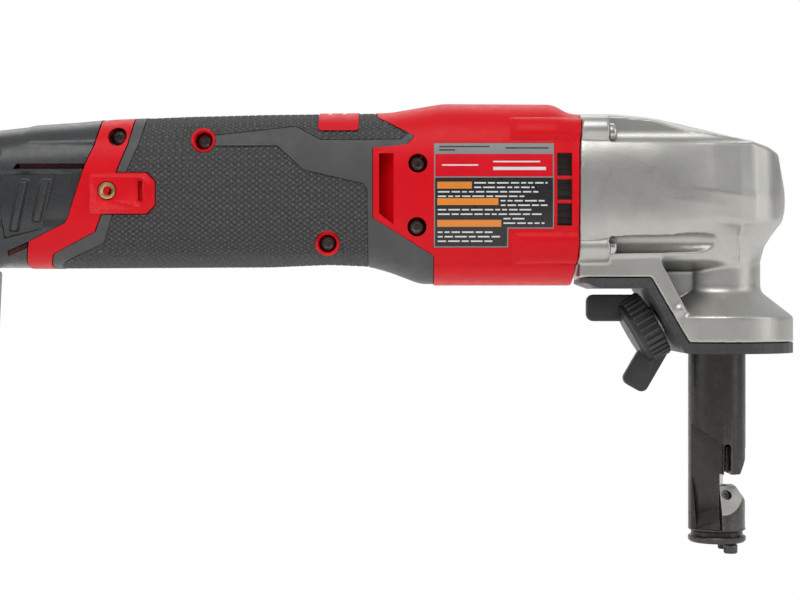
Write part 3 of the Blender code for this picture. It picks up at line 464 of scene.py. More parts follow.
def moulded(name, base, roughness, grain=0.35, depth=0.02, tone=0.12, wear_and_highlight=None, **sockets):
    """Injection-moulded plastic: spark-eroded grain, faint flow marks and lighter edges, partly worn and
    partly a painted highlight.
    """
    paint = Paint(name, roughness, **sockets)
    mixed = paint.mottled(shade(base, 1 - tone), shade(base, 1 + tone), 14.0, 4.0)
    mixed = paint.mottled(mixed, shade(base, 1 - tone), 0.6, 2.0, 0.35)
    if wear_and_highlight:
        mixed = paint.edge_wear_and_highlight(mixed, wear_and_highlight)
    paint.colour(mixed)
    paint.rough(paint.noise(3.0, 5.0), roughness * 0.85, roughness * 1.18)
    paint.bump(paint.noise(grain, 2.0), depth)
    return paint.material


def knurled(name, base, valley_shade, ridge, roughness):
    """Rubber with painted shade in its valleys and a painted highlight on its ridges."""
    paint = Paint(name, roughness)
    mixed = paint.mottled(base, shade(base, 0.85), 12.0, 4.0, 0.5)
    # Pointiness picks out the ridges for the painted highlight and the valleys for the painted shade
    curve = paint.add("ShaderNodeNewGeometry").outputs["Pointiness"]
    mixed = paint.blend(paint.spread(curve, 0.0, 1.0, 0.505, 0.56), mixed, ridge)
    paint.colour(paint.blend(paint.spread(curve, 1.0, 0.0, 0.44, 0.495), mixed, valley_shade))
    paint.rough(paint.noise(1.5, 4.0), roughness * 0.9, roughness * 1.15)
    paint.bump(paint.noise(0.3, 2.0), 0.02)
    return paint.material


def cast(name, base, roughness):
    """Bead-blasted die casting, with painted shade deep in its hollows."""
    paint = Paint(name, roughness, 0.9)
    darker = shade(base, 0.86)
    mixed = paint.mottled(darker, base, 9.0, 5.0)
    mixed = paint.mottled(mixed, darker, 0.45, 2.0, 0.55)
    mixed = paint.edge_wear_and_highlight(mixed, shade(base, 1.25), 0.05, 0.45)
    # Painted shade under the barrel and in the pockets of the casting
    paint.colour(paint.painted_hollow_shade(mixed, shade(base, 0.12), 18.0, 0.9))
    paint.rough(paint.noise(0.8, 4.0), roughness * 0.9, roughness * 1.2)
    paint.bump(paint.noise(0.5, 3.0), 0.035)
    paint.bump(paint.noise(7.0, 2.0), 0.05)
    return paint.material


def machined(name, base, roughness, axis=2, metallic=1.0, line=0.12, depth=0.004, wear_and_highlight=None):
    """Turned or ground metal: fine marks round the axis, with smudges of oil."""
    paint = Paint(name, roughness, metallic)
    stretch = tuple(1.0 if k == axis else 0.04 for k in range(3))
    mixed = paint.mottled(shade(base, 0.8), base, 5.0, 5.0)
    if wear_and_highlight:
        mixed = paint.edge_wear_and_highlight(mixed, wear_and_highlight, 0.05, 0.6)
    paint.colour(mixed)
    paint.rough(paint.noise(2.2, 5.0), roughness * 0.75, roughness * 1.3)
    paint.bump(paint.noise(line, 2.0, stretch), depth)
    return paint.material


RED = moulded("red_plastic", (0.72, 0.002, 0.010), 0.42, tone=0.05, wear_and_highlight=(0.92, 0.07, 0.08),
              Specular_IOR_Level=0.2)
RUBBER = moulded("grey_rubber", (0.070, 0.071, 0.070), 0.62, 0.25, 0.03, 0.14, (0.14, 0.14, 0.14),
                 Sheen_Weight=0.12, Sheen_Roughness=0.5)
# Black plastic's lighter edge colour is partly wear and partly a painted highlight on the knob's ribs
BLACK = moulded("black_plastic", (0.036, 0.036, 0.036), 0.42, 0.3, 0.02, 0.15, (0.12, 0.12, 0.12))
DARK = moulded("dark_plastic", (0.038, 0.040, 0.042), 0.28, 0.3, 0.012, 0.12, (0.12, 0.12, 0.12))
PALE = moulded("pale_plastic", (0.33, 0.33, 0.33), 0.45, 0.35, 0.02, 0.06, (0.45, 0.45, 0.45))
CAST = cast("cast_metal", (0.56, 0.555, 0.525), 0.36)
OXIDE = machined("black_oxide", (0.062, 0.060, 0.057), 0.30, 2, 0.8, wear_and_highlight=(0.30, 0.29, 0.27))
BRIGHT = machined("steel", (0.62, 0.61, 0.59), 0.26, 0)
DIE_STEEL = machined("die_steel", (0.42, 0.41, 0.395), 0.42, 2, 0.95, wear_and_highlight=(0.5, 0.49, 0.47))
BRASS = machined("brass", (0.70, 0.50, 0.24), 0.28, 1)
COPPER = machined("copper", (0.62, 0.28, 0.13), 0.38, 0, line=0.8, depth=0.12)
BOARD = moulded("board_green", (0.015, 0.10, 0.04), 0.4, 2.0, 0.05, 0.25, (0.5, 0.4, 0.15))
WRAP = moulded("cell_wrap", (0.04, 0.20, 0.33), 0.32, 1.5, 0.02, 0.08, (0.2, 0.4, 0.5))
# Knurl: the valley colour is painted shade and the ridge colour a painted highlight
KNURL = knurled("rubber_knurl", (0.060, 0.061, 0.060), (0.032, 0.032, 0.032), (0.135, 0.136, 0.132), 0.6)
PRINT_GREY = moulded("print_grey", (0.25, 0.25, 0.25), 0.35, 0.3, 0.006, 0.05)
PRINT_RED = moulded("print_red", (0.70, 0.004, 0.016), 0.42, 0.3, 0.006, 0.05, Specular_IOR_Level=0.2)
PRINT_BLACK = moulded("print_black", (0.016, 0.016, 0.017), 0.3, 0.3, 0.006, 0.1)
PRINT_ORANGE = moulded("print_orange", (0.80, 0.26, 0.03), 0.35, 0.3, 0.006, 0.05)
# Red slit lining, darkened almost to black as painted shade inside the slits
SHADED_SLIT_RED = moulded("shaded_slit_red_plastic", (0.11, 0.003, 0.006), 0.5, 0.3, 0.01, 0.1)
PRINT_WHITE = moulded("print_white", (0.75, 0.75, 0.75), 0.35, 0.3, 0.006, 0.04)

SLOT_PAINT = {"red_plastic": RED, "grey_rubber": RUBBER, "black_plastic": BLACK, "dark_plastic": DARK,
              "pale_plastic": PALE, "label": PRINT_BLACK, "cast_metal": CAST, "black_oxide": OXIDE,
              "steel": BRIGHT, "die_steel": DIE_STEEL, "brass": BRASS, "copper": COPPER,
              "board_green": BOARD, "cell_wrap": WRAP}


def dress(obj, paint, body, slot, *nodes, angle=35.0):
    """Finish a new piece: its material, the body it rides on and the nodes it stands for."""
    obj.data.materials.clear()
    obj.data.materials.append(paint)
    smooth(obj, angle)
    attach(obj, body)
    if nodes:
        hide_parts(*nodes)
    return obj


# ---------------------------------------------------------------- body surface

def on_middle(place):
    """The point of the middle plane at a place (x, z)."""
    return place[0], 0, place[1]


def line_at(line, x, blur=2.0):
    """Value of a (position, value) line at x, with its corners softened over blur."""
    positions, values = zip(*line)
    shifts = np.linspace(-blur, blur, 5)
    return sum(np.interp(x + shift, positions, values) for shift in shifts) / len(shifts)


def even_turns(spacing):
    """Angles from the top seam to the bottom seam at an even spacing along the section."""
    turns = np.linspace(pi / 2, 3 * pi / 2, 4001)
    power = 2 / BODY_ROUNDNESS
    y = 26.2 * np.abs(np.cos(turns)) ** power
    z = 27.5 * np.sign(np.sin(turns)) * np.abs(np.sin(turns)) ** power
    length = np.concatenate(([0], np.cumsum(np.hypot(np.diff(y), np.diff(z)))))
    count = int(length[-1] / spacing)
    return np.interp(np.linspace(0, length[-1], count + 1), length, turns), length[-1]


def half_body(x_low, x_high, spacing, inset=0.0, relief=None, reach=GAP / 2):
    """Right half of the body as a closed solid, its side raised by relief(x, y, z, s)."""
    xs = np.linspace(x_low, x_high, int(round((x_high - x_low) / spacing)) + 1)
    turns, length = even_turns(spacing)
    x, turn = np.meshgrid(xs, turns, indexing="ij")
    along = np.broadcast_to(np.linspace(0, length, len(turns)), x.shape)
    half_width = line_at(HALF_WIDTH_LINE, x) - inset
    top, bottom = line_at(TOP_LINE, x) - inset, line_at(BOTTOM_LINE, x) + inset
    middle, half_height = (top + bottom) / 2, (top - bottom) / 2
    power = 2 / BODY_ROUNDNESS
    y_share, z_share = np.abs(np.cos(turn)) ** power, np.abs(np.sin(turn)) ** power
    sign = np.sign(np.sin(turn))
    y, z = half_width * y_share, middle + half_height * sign * z_share
    if relief:
        out_y = y_share ** (BODY_ROUNDNESS - 1) / half_width
        out_z = sign * z_share ** (BODY_ROUNDNESS - 1) / half_height
        size = np.hypot(out_y, out_z)
        lift = relief(x, y, z, along)
        y, z = y + out_y / size * lift, z + out_z / size * lift
    y = np.maximum(y, reach)
    points = np.stack((x, -y, z), axis=-1).reshape(-1, 3)
    rows, columns = x.shape
    index = np.arange(rows * columns).reshape(rows, columns)
    quads = np.stack((index[:-1, :-1], index[1:, :-1], index[1:, 1:], index[:-1, 1:]), axis=-1)
    quads = quads.reshape(-1, 4)
    seam = np.stack((index[:-1, 0], index[:-1, -1], index[1:, -1], index[1:, 0]), axis=-1)
    faces = [tuple(face) for face in np.concatenate((quads, seam)).tolist()]
    faces += [tuple(index[0].tolist()), tuple(index[-1][::-1].tolist())]
    return points.tolist(), faces


def full_body(x_low, x_high, spacing, inset=0.0, relief=None):
    """The whole body as a closed solid, without a seam."""
    points, _ = half_body(x_low, x_high, spacing, inset, relief, 0.0)
    columns = len(even_turns(spacing)[0])
    right = np.asarray(points).reshape(-1, columns, 3)
    left = right[:, -2:0:-1] * (1, -1, 1)
    rings = np.concatenate((right, left), axis=1)
    return loft(rings.tolist())


def hollow(x_low, x_high, inset, spacing=3.0, past=1.0):
    """What lies deeper than inset in the body's right half, and a little past the middle plane."""
    return half_body(x_low, x_high, spacing, inset, None, -past)


def skin(name, stretch, outline, void):
    """Shell of the right half: a stretch of the body within an outline, less the void."""
    return cut(trim(solid(name, stretch), right_slab(outline)), void)


def run_on(border, shift=0.0):
    """A border moved along X and run on straight past the bottom and the top."""
    moved = [(x + shift, z) for x, z in border]
    return [(moved[0][0], BELOW), *moved, (moved[-1][0], ABOVE)]


def zone(first, second, first_shift=0.0, second_shift=0.0):
    """Outline in X and Z between two slanted borders, clockwise."""
    return run_on(first, first_shift) + run_on(second, second_shift)[::-1]


def bump_line(value, low, high):
    """A rounded ridge profile, 0 at low and high and 1 in the middle."""
    share = np.clip((value - low) / (high - low), 0, 1)
    return np.sqrt(np.clip(1 - (2 * share - 1) ** 2, 0, 1))


def step_up(value, start, end):
    share = np.clip((value - start) / (end - start), 0, 1)
    return share * share * (3 - 2 * share)


def side_of(x, z):
    """Distance from the middle plane to the body's side at x and z."""
    top, bottom = line_at(TOP_LINE, x), line_at(BOTTOM_LINE, x)
    share = np.abs(z - (top + bottom) / 2) / ((top - bottom) / 2)
    return line_at(HALF_WIDTH_LINE, x) * np.maximum(0.0, 1 - share ** BODY_ROUNDNESS) ** (1 / BODY_ROUNDNESS)


def draped(columns, rows, holds, outer, inner):
    """Slab on the right side of the body over the grid cells whose middle holds(x, z) accepts."""
    points, index, faces = [], {}, []

    def corner(i, j, layer):
        if (i, j, layer) not in index:
            index[(i, j, layer)] = len(points)
            x, z = columns[i], rows[j]
            points.append((x, -(float(side_of(x, z)) - (outer, inner)[layer]), z))
        return index[(i, j, layer)]

    cells = {(i, j) for i in range(len(columns) - 1) for j in range(len(rows) - 1)
             if holds((columns[i] + columns[i + 1]) / 2, (rows[j] + rows[j + 1]) / 2)}
    for i, j in sorted(cells):
        square = ((i, j), (i + 1, j), (i + 1, j + 1), (i, j + 1))
        faces.append(tuple(corner(a, b, 0) for a, b in square))
        faces.append(tuple(corner(a, b, 1) for a, b in reversed(square)))
        beyond = ((i, j - 1), (i + 1, j), (i, j + 1), (i - 1, j))
        for k, neighbour in enumerate(beyond):
            if neighbour not in cells:
                a, b = square[k], square[(k + 1) % 4]
                faces.append((corner(*a, 0), corner(*a, 1), corner(*b, 1), corner(*b, 0)))
    return points, faces


def steps_between(stops, spacing):
    """Grid lines at all the stops, and between them at about spacing."""
    lines = []
    for low, high in zip(stops, stops[1:]):
        count = max(1, int(round((high - low) / spacing)))
        lines += list(np.linspace(low, high, count + 1)[:-1])
    return lines + [stops[-1]]


# ---------------------------------------------------------------- rating plate

LABEL_X = (-103.3, -77.5, -61.7)
LABEL_Z = (105.9, 112.4, 142.1)
LABEL_BORDER = 0.4
LABEL_HEADER_Z = 138.5
LABEL_BAND_Z = 130.0
# How far the plate and its print stand out from the body's side
PLATE_RISE, RULE_RISE, BAR_RISE = 0.02, 0.04, 0.07
# Plain bars and rules in place of the print, as ((from x, to x), z)
PRINT_BARS = (((-102.2, -90.2), 127.4), ((-102.2, -81.0), 121.7), ((-102.2, -80.0), 114.2))
PRINT_RULES = (((-101.5, -84.0), 140.9), ((-101.5, -96.0), 139.7), ((-78.5, -63.5), 140.4),
               ((-82.8, -64.5), 133.2), ((-82.8, -66.5), 135.6), ((-100.5, -88.0), 134.4))
BOLD_RULE_Z = 133.2
PRINT_LINES = 14
LINE_PITCH = 1.55
LINE_ENDS = (-64.0, -68.5, -66.0, -72.0, -65.0)
DASH_LENGTHS = (2.4, 4.1, 1.7, 3.2, 2.9, 5.0, 3.6)


def label_grid(grow=0.0):
    low_x, step_x, high_x = LABEL_X[0] - grow, LABEL_X[1] + grow, LABEL_X[2] + grow
    low_z, step_z, high_z = LABEL_Z[0] - grow, LABEL_Z[1] - grow, LABEL_Z[2] + grow
    rim = LABEL_BORDER
    columns = steps_between((low_x, low_x + rim, step_x - rim, step_x, high_x - rim, high_x), 1.2)
    rows = steps_between((low_z, low_z + rim, step_z, step_z + rim, LABEL_BAND_Z, LABEL_BAND_Z + rim,
                          LABEL_HEADER_Z - rim / 2, LABEL_HEADER_Z, high_z - rim, high_z), 1.2)
    return columns, rows


def label_cell(x, z):
    """The plate's cells: its lower rows stop short of the front."""
    return z > LABEL_Z[1] - 0.16 or x < LABEL_X[1] + 0.16


def label_finish(x, z):
    """Which finish a place on the plate has: 0 rim and header, 1 band, 2 field."""
    rim = LABEL_BORDER
    low_z = LABEL_Z[0] if x < LABEL_X[1] else LABEL_Z[1]
    high_x = LABEL_X[2] if z > LABEL_Z[1] else LABEL_X[1]
    if x < LABEL_X[0] + rim or x > high_x - rim or z < low_z + rim or z > LABEL_HEADER_Z - rim / 2:
        return 0
    if x > LABEL_X[1] - rim and z < LABEL_Z[1] + rim:
        return 0
    if LABEL_BAND_Z < z < LABEL_BAND_Z + rim:
        return 0
    return 1 if z > LABEL_BAND_Z else 2


def strip(ends, rows, rise):
    """A thin printed strip on the plate, over a stretch of X and between rows in Z."""
    return draped(steps_between(ends, 2.0), rows, lambda x, z: True, -rise, 0.1)


def small_print():
    """Rules in the header and lines of dashes below it, clear of the bars."""
    rules = list(PRINT_RULES)
    for line in range(PRINT_LINES):
        z = 128.2 - line * LINE_PITCH
        start = max([-102.0] + [end + 0.8 for (_, end), level in PRINT_BARS if abs(z - level) < 1.6])
        end = LINE_ENDS[line % 5] if z > 113.5 else -80.0 - line % 2 * 3
        rules.append(((start, end), z))
    return rules


def rating_plate():
    plate = solid("rating_plate_print", draped(*label_grid(), label_cell, -PLATE_RISE, 0.22))
    dress(plate, PRINT_GREY, "body", "label", "rating_plate")
    plate.data.materials.append(PRINT_RED)
    plate.data.materials.append(PRINT_BLACK)
    for face in plate.data.polygons:
        place = (face.center - ORIGIN) / MM
        face.material_index = label_finish(place.x, place.z)
    strips = [strip(ends, [z - 1.2, z, z + 1.2], BAR_RISE) for ends, z in PRINT_BARS]
    for number, ((start, end), z) in enumerate(small_print()):
        half_height = 0.55 if z == BOLD_RULE_Z else 0.25
        x, dash = start, number
        while x < end - 0.6:
            length = min(end - x, 30.0 if z > LABEL_BAND_Z else DASH_LENGTHS[dash * dash % 7])
            strips.append(strip((x, x + length), [z - half_height, z + half_height], RULE_RISE))
            x, dash = x + length + 0.7, dash + 1
    rules = solid("rating_plate_rules", together(*strips))
    dress(rules, PRINT_WHITE, "body", "label")
    for face in rules.data.polygons:
        place = (face.center - ORIGIN) / MM
        on_bar = any(start - 0.1 < place.x < end + 0.1 and abs(place.z - z) < 1.3
                     for (start, end), z in PRINT_BARS)
        face.material_index = 1 if place.z > LABEL_HEADER_Z else 2 * on_bar
    rules.data.materials.append(PRINT_BLACK)
    rules.data.materials.append(PRINT_ORANGE)


# ---------------------------------------------------------------- red housing

UPPER_BOSS = (-76.9, 143.4, 151.2)
LOWER_BOSS = (-76.2, 100.5, 110.9)


def nose_relief(x, y, z, s):
    """Bosses over the gearcase screws and the step along the lower edge."""
    lift = np.zeros_like(x)
    for (start, low, high), height, slant in ((UPPER_BOSS, 2.3, 2.4), (LOWER_BOSS, 2.1, 4.0)):
        profile = bump_line(z, low, high)
        ramp = np.clip((x - start) / (slant * np.maximum(profile, 0.25)), 0, 1)
        lift = np.maximum(lift, height * profile * ramp)
    lower = np.where(z < 125, 1.0, 0.0) * (1 - step_up(z, 99.9, 100.5)) * step_up(x, -103.4, -102.6)
    return np.maximum(lift, 0.55 * lower)


NOSE_END_Z = (BELOW, 99.8, 101.5, 107.0, 127.0, 140.0, 150.0, ABOVE)
NOSE_END_BACK = (3.4, 3.2, 2.6, 2.4, 2.2, 2.0, 1.0, 0.5)


def nose_end(shift=0.0):
    """The slightly hollow joint line between the front shell and the gearcase."""
    return [(NOSE_END_X - back + shift, z) for z, back in zip(NOSE_END_Z, NOSE_END_BACK)]


def nose():
    """Front shell of the right half, before its holes."""
    return skin("nose", half_body(-130.0, NOSE_END_X - 0.01, 0.55, 0.0, nose_relief),
                run_on(NOSE_BORDER) + nose_end()[::-1], hollow(-140.0, -40.0, SHELL))


def band():
    """Rear band of the right half, before its holes."""
    return skin("band", half_body(-250.0, -200.0, 0.7), zone(BATTERY_BORDER, BAND_BORDER, 0.15, -0.15),
                hollow(-260.0, -190.0, 2.6))


def core():
    """The stretch of the housing that lies under the rubber grip."""
    return skin("core", half_body(-238.0, -100.0, 3.0, SEAT), zone(BAND_BORDER, NOSE_BORDER, -0.1, 0.1),
                hollow(-245.0, -90.0, SEAT + 1.6))


PAD_Z = (117.7, 132.0)
PAD_END_X = -200.7


def pad_outline(grow=0.0):
    """Outline of the hanger pad, its front corners cut off."""
    low, high, end, corner = PAD_Z[0] - grow, PAD_Z[1] + grow, PAD_END_X + grow, 3.0
    return rounded([(-223.2, low), (end - corner, low), (end, low + corner), (end, high - corner),
                    (end - corner, high), (-223.2, high)], [0.4, 1.0, 1.0, 1.0, 1.0, 0.4], 3)


def hanger_pad():
    """Raised pad with the threaded insert: a wide foot, a chamfer and a flat face."""
    rings = [[(x, y, z) for x, z in pad_outline(-shrink)]
             for shrink, y in ((0.0, -20.8), (0.0, -25.9), (0.3, -26.3), (1.2, -26.75), (1.6, -27.0))]
    return loft(rings)


REAR_VENT = [(-122.4, 117.9), (-120.5, 116.3), (-117.3, 113.9), (-117.3, 138.8), (-122.4, 138.8)]
FRONT_VENT_X = (-60.6, -55.3)
FRONT_VENT_Z = (113.4, 138.8)


def vent_tub():
    """Walls and floor behind the rear vent."""
    return prism([(-124.2, 117.0), (-121.0, 114.3), (-115.6, 110.8), (-115.6, 140.4), (-124.2, 140.4)],
                 "Y", -26.0, -17.5)


def vent_pocket():
    """The rear vent: its floor slopes in towards the rear."""
    ends = (REAR_VENT[0][0], REAR_VENT[2][0])
    depths = [np.interp(x, ends, (-18.4, -24.6)) for x, _ in REAR_VENT]
    return loft([[(x, depth, z) for (x, z), depth in zip(REAR_VENT, depths)],
                 [(x, -40.0, z) for x, z in REAR_VENT]])


def front_vent():
    return slot_box(FRONT_VENT_X, (-40.0, -15.0), FRONT_VENT_Z)


def fan_guard():
    """Dark duct walls behind the front vents, with shallow grooves."""
    walls = []
    for side in (-1, 1):
        wall = solid("wall", block((-62.4, -54.2), sorted((side * 22.6, side * 23.6)), (111.5, 140.5)))
        slots = [block((-61.4, -55.2), sorted((side * 23.2, side * 26.0)), (z - 0.35, z + 0.35))
                 for z in np.arange(114.0, 139.0, 2.4)]
        cut(wall, together(*slots))
        walls.append(wall)
    guard = merge(*walls)
    guard.name = "fan_duct_guard"
    dress(guard, BLACK, "body", "black_plastic")


def vent_ribs():
    """Two bars across the front vent, set back from the face."""
    x = (FRONT_VENT_X[0] - 0.6, FRONT_VENT_X[1] + 0.6)
    return together(*(block(x, (-26.8, -25.2), (z - 0.6, z + 0.6)) for z in (121.9, 130.3)))


def slot_box(x, y, z, radius=0.3):
    outline = rounded([(x[0], z[0]), (x[1], z[0]), (x[1], z[1]), (x[0], z[1])], radius, 3)
    return prism(outline, "Y", *y)


def flared_well(place, bottom, lip, mouth):
    """A screw well on the right side that widens to the radius mouth past its lip."""
    profile = ((0, bottom), (WELL_RADIUS, bottom), (WELL_RADIUS, lip), (mouth, lip + 0.6), (mouth, 40.0),
               (0, 40.0))
    return turned(profile, on_middle(place), RIGHT, 40)


def housing():
    """Both halves of the red housing, each with its front shell, rear band and core."""
    front, rear, under = nose(), band(), core()
    lefts = [copy_of(part, f"{part.name}_left", True) for part in (front, rear, under)]
    slide_slot = block((-101.0, -69.0), (-7.6, 7.6), (150.0, 165.0))
    for part, placed in ((front, lambda shape: shape), (lefts[0], mirrored)):
        join(part, placed(vent_tub()))
        cut(part, placed(vent_pocket()), placed(front_vent()), slide_slot)
        join(part, placed(vent_ribs()))
    # The right half alone has screw wells, the plate's seat and the hanger pad
    cut(front, together(*(flared_well(place, 20.0, 28.6, 3.6) for place in NOSE_SCREWS)),
        draped(*label_grid(0.15), label_cell, -2.0, 0.25))
    sleeves = []
    for place in GRIP_SCREWS:
        top = side_of(*place) - 0.35
        profile = ((3.15, 16.0), (4.3, 16.0), (4.3, top - 0.2), (4.1, top), (3.5, top), (3.15, top - 0.6))
        cut(under, rod(3.3, on_middle(place), RIGHT, 8.0, 40.0, 40))
        sleeves.append(solid("sleeve", turned(profile, on_middle(place), RIGHT, 48)))
    merge(under, *sleeves)
    cut(rear, flared_well(BAND_SCREW, 10.0, 23.0, 3.7))
    pad = solid("pad", hanger_pad())
    cut(pad, rod(WELL_RADIUS, on_middle(INSERT), RIGHT, 21.6, 30.0),
        slot_box((-206.5, -204.9), (-30.0, -23.0), (122.2, 129.2), 0.2))
    join(rear, pad)
    cut(rear, slot_box((-207.1, -204.3), (-27.4, -26.6), (121.5, 129.9), 0.6))
    for side, parts in (("right", (front, rear, under)), ("left", lefts)):
        shell = merge(*parts)
        shell.name = f"housing_{side}_shell"
        dress(shell, RED, "body", "red_plastic", f"housing_{side}", angle=32.0)


# ---------------------------------------------------------------- rubber grip

KNURL_PITCH = 2.55
KNURL_PERIOD = 1.93


def knurl_relief(x, y, z, s):
    """Zigzag ridges that run round the handle, side by side along it."""
    zigzag = np.abs(((s / KNURL_PERIOD) % 1.0) * 2 - 1) - 0.5
    across = np.abs(((x / KNURL_PITCH + zigzag * 0.72) % 1.0) * 2 - 1)
    middle = (line_at(TOP_LINE, x) + line_at(BOTTOM_LINE, x)) / 2
    depth = 0.58 - 0.25 * step_up(np.abs(z - middle), 22.0, 26.0)
    return -0.12 - depth * (1 - step_up(across, 0.52, 0.84))


def knurl_outline(shift):
    """Outline of the knurled panel in X and Z, grown by shift."""
    return grown(zone(BEAD_BORDER, KNURL_EDGE), -shift)


def grip():
    base = skin("grip_base", half_body(-240.0, -99.0, 1.1), zone(BAND_BORDER, NOSE_BORDER, GAP, -GAP),
                hollow(-250.0, -90.0, SKIN))
    seat = solid("seat", right_slab(knurl_outline(0.28)))
    cut(base, cut(seat, hollow(-245.0, -95.0, 0.8, 1.1, 3.0)))
    panel = skin("knurl", half_body(-240.0, -108.0, 0.36, 0.0, knurl_relief), knurl_outline(-0.1),
                 hollow(-245.0, -95.0, 0.85, 1.1, 3.0))
    left_base = copy_of(base, "grip_base_left", True)
    left_panel = copy_of(panel, "knurl_left", True)
    wells = [rod(radius, on_middle(place), RIGHT, 8.0, 34.0)
             for radius, place in ((4.45, GRIP_SCREWS[0]), (4.45, GRIP_SCREWS[1]), (3.9, BAND_SCREW))]
    holes = together(*wells, prism(pad_outline(0.35), "Y", -34.0, -20.0))
    badge_seat = block((BADGE_X[0] - 0.2, BADGE_X[1] + 0.2), (-26.0, 26.0), (BADGE_LOW_Z - 0.2, 170.0))
    cut(base, holes)
    cut(panel, holes, badge_seat)
    cut(left_panel, badge_seat)
    for kind, paint, angle, pair in (("cover", RUBBER, 28.0, (base, left_base)),
                                     ("knurl", KNURL, 60.0, (panel, left_panel))):
        for side, piece in zip(("right", "left"), pair):
            piece.name = f"grip_{side}_{kind}"
            dress(piece, paint, "body", "grey_rubber", f"grip_{side}", angle=angle)


BADGE_X = (-143.8, -129.7)
BADGE_LOW_Z = 147.2


def badge():
    """Red badge over the top of the handle, with two plain printed stripes."""
    rear, front = BADGE_X
    outline = rounded([(rear, BADGE_LOW_Z), (front, BADGE_LOW_Z), (front, ABOVE), (rear, ABOVE)],
                      [1.2, 1.2, 0, 0], 5)
    for side in ("right", "left"):
        plate = skin(f"badge_{side}", half_body(-150.0, -124.0, 0.8, -0.15), outline,
                     hollow(-152.0, -120.0, 0.75, 1.5))
        if side == "left":
            mirror = copy_of(plate, plate.name, True)
            bpy.data.objects.remove(plate, do_unlink=True)
            plate = mirror
        dress(plate, PRINT_RED, "body", "label")
    for x in (-140.6, -135.4):
        stripe = solid("badge_stripe", half_body(x, x + 1.3, 0.6, -0.19))
        trim(stripe, block((x - 1.0, x + 3.0), (-12.0, 1.0), (140.0, 170.0)))
        cut(stripe, hollow(-152.0, -120.0, -0.05, 1.5))
        dress(stripe, PRINT_WHITE, "body", "label")


# ---------------------------------------------------------------- screws and small trim

def lobed(radius, depth, lobes=6, steps=48):
    """Outline of a six-lobed driver recess."""
    turns = [2 * pi * k / steps for k in range(steps)]
    reach = [radius - depth * (0.5 - 0.5 * cos(lobes * turn)) for turn in turns]
    return [(far * cos(turn), far * sin(turn)) for far, turn in zip(reach, turns)]


def screw(node, profile, centre, axis, recess, paint, slot, body="body", part="head"):
    """A turned screw with a lobed recess (radius, from, to), named after its node and part."""
    made = solid(f"{node}_{part}", turned(profile, centre, axis, 48))
    axis, side, up = square_to(axis)
    radius, low, high = recess
    rings = [[Vector(centre) + axis * level + side * a + up * b for a, b in lobed(radius, radius * 0.3)]
             for level in (low, high)]
    cut(made, loft(rings))
    dress(made, paint, body, slot, node)


def housing_screws():
    for number, (x, z, seat) in enumerate(HOUSING_SCREW_SEATS, 1):
        head = -seat
        profile = ((0, -10.0), (1.45, -8.5), (1.45, head), (2.7, head), (HEAD_RADIUS, head + 0.3),
                   (HEAD_RADIUS, head + 1.3), (2.5, head + 1.9), (1.6, head + 2.25), (0, head + 2.3))
        screw(f"housing_screw_{number}", profile, (x, 0, z), RIGHT, (1.35, head + 0.9, head + 3.0), OXIDE,
              "black_oxide")


SCREW_Y = 20.0
SCREW_Z = (146.4, 106.2)


def gearcase_screws():
    profile = ((0, -70.0), (2.0, -68.0), (2.0, -41.7), (3.1, -41.7), (3.45, -41.3), (3.45, -40.2),
               (3.1, -39.4), (2.4, -38.9), (1.6, -38.75), (0, -38.7))
    places = [(0, y, z) for z in SCREW_Z for y in (-SCREW_Y, SCREW_Y)]
    for number, place in enumerate(places, 1):
        screw(f"gearcase_screw_{number}", profile, place, FORWARD, (1.5, -40.2, -38.0), BRIGHT, "steel")


def hanger_insert():
    """Knurled threaded insert: a bright rim round a threaded bore."""
    profile = [(1.95, 22.2), (3.1, 22.2), (3.1, 26.5), (2.95, 26.85), (2.2, 26.95), (1.95, 26.7)]
    threads = [(1.55 + 0.4 * (k % 2), 26.6 - 0.35 * k) for k in range(1, 12)]
    sleeve = solid("hanger_insert_sleeve", turned(profile + threads, on_middle(INSERT), RIGHT, 48))
    dress(sleeve, BRASS, "body", "brass", "hanger_insert")
    floor = solid("hanger_insert_floor", rod(2.9, on_middle(INSERT), RIGHT, 21.7, 22.1, 32))
    dress(floor, BLACK, "body", "black_plastic")


# ---------------------------------------------------------------- gearcase

GEARCASE_TOP = ((-50.4, 154.5), (-38.7, 154.5), (-27.8, 153.5), (-13.3, 151.3), (-6, 149.8), (1.3, 148),
                (8.5, 145.8), (15.8, 143.6), (20.2, 141.3), (20.7, 138.5), (22.4, 132), (23.8, 127.6),
                (24.4, 124.3))
GEARCASE_BOTTOM = ((-50.4, 95.6), (-45, 95.6), (-42, 97.5), (8, 97.5), (15.5, 101.5), (16.2, 105.8),
                   (18.7, 110.2), (20.2, 112.4), (22.4, 115), (23.8, 118.9), (24.4, 122.3))
GEARCASE_HALF_WIDTH = ((-50.4, 28.8), (-30, 28), (-5, 26.5), (4, 25.0), (10, 22.9), (15.8, 19.0),
                       (18.5, 16.2), (20.8, 12.8), (22.4, 9.3), (23.6, 5.2), (24.4, 1.5))
FACET_Z = (115.8, 124.9)
FLANGE_RADIUS = 27.1
FLANGE_Z = (72.7, 81.8)
NECK_RADIUS = 15.5
FUNNEL_START_X = 5.0
FUNNEL = ((NECK_RADIUS, 99.0), (15.9, 103.0), (17.0, 107.0), (19.3, 110.6), (22.2, 113.6), (26.0, 116.6),
          (32.0, 120.0))
SLOPE_TOP = (-26.8, 95.6)
SLOPE_DIRECTION = (0.5, -0.866)
SKIRT_HALF_WIDTH = 22.0
WEB_HALF_WIDTH = 11.0
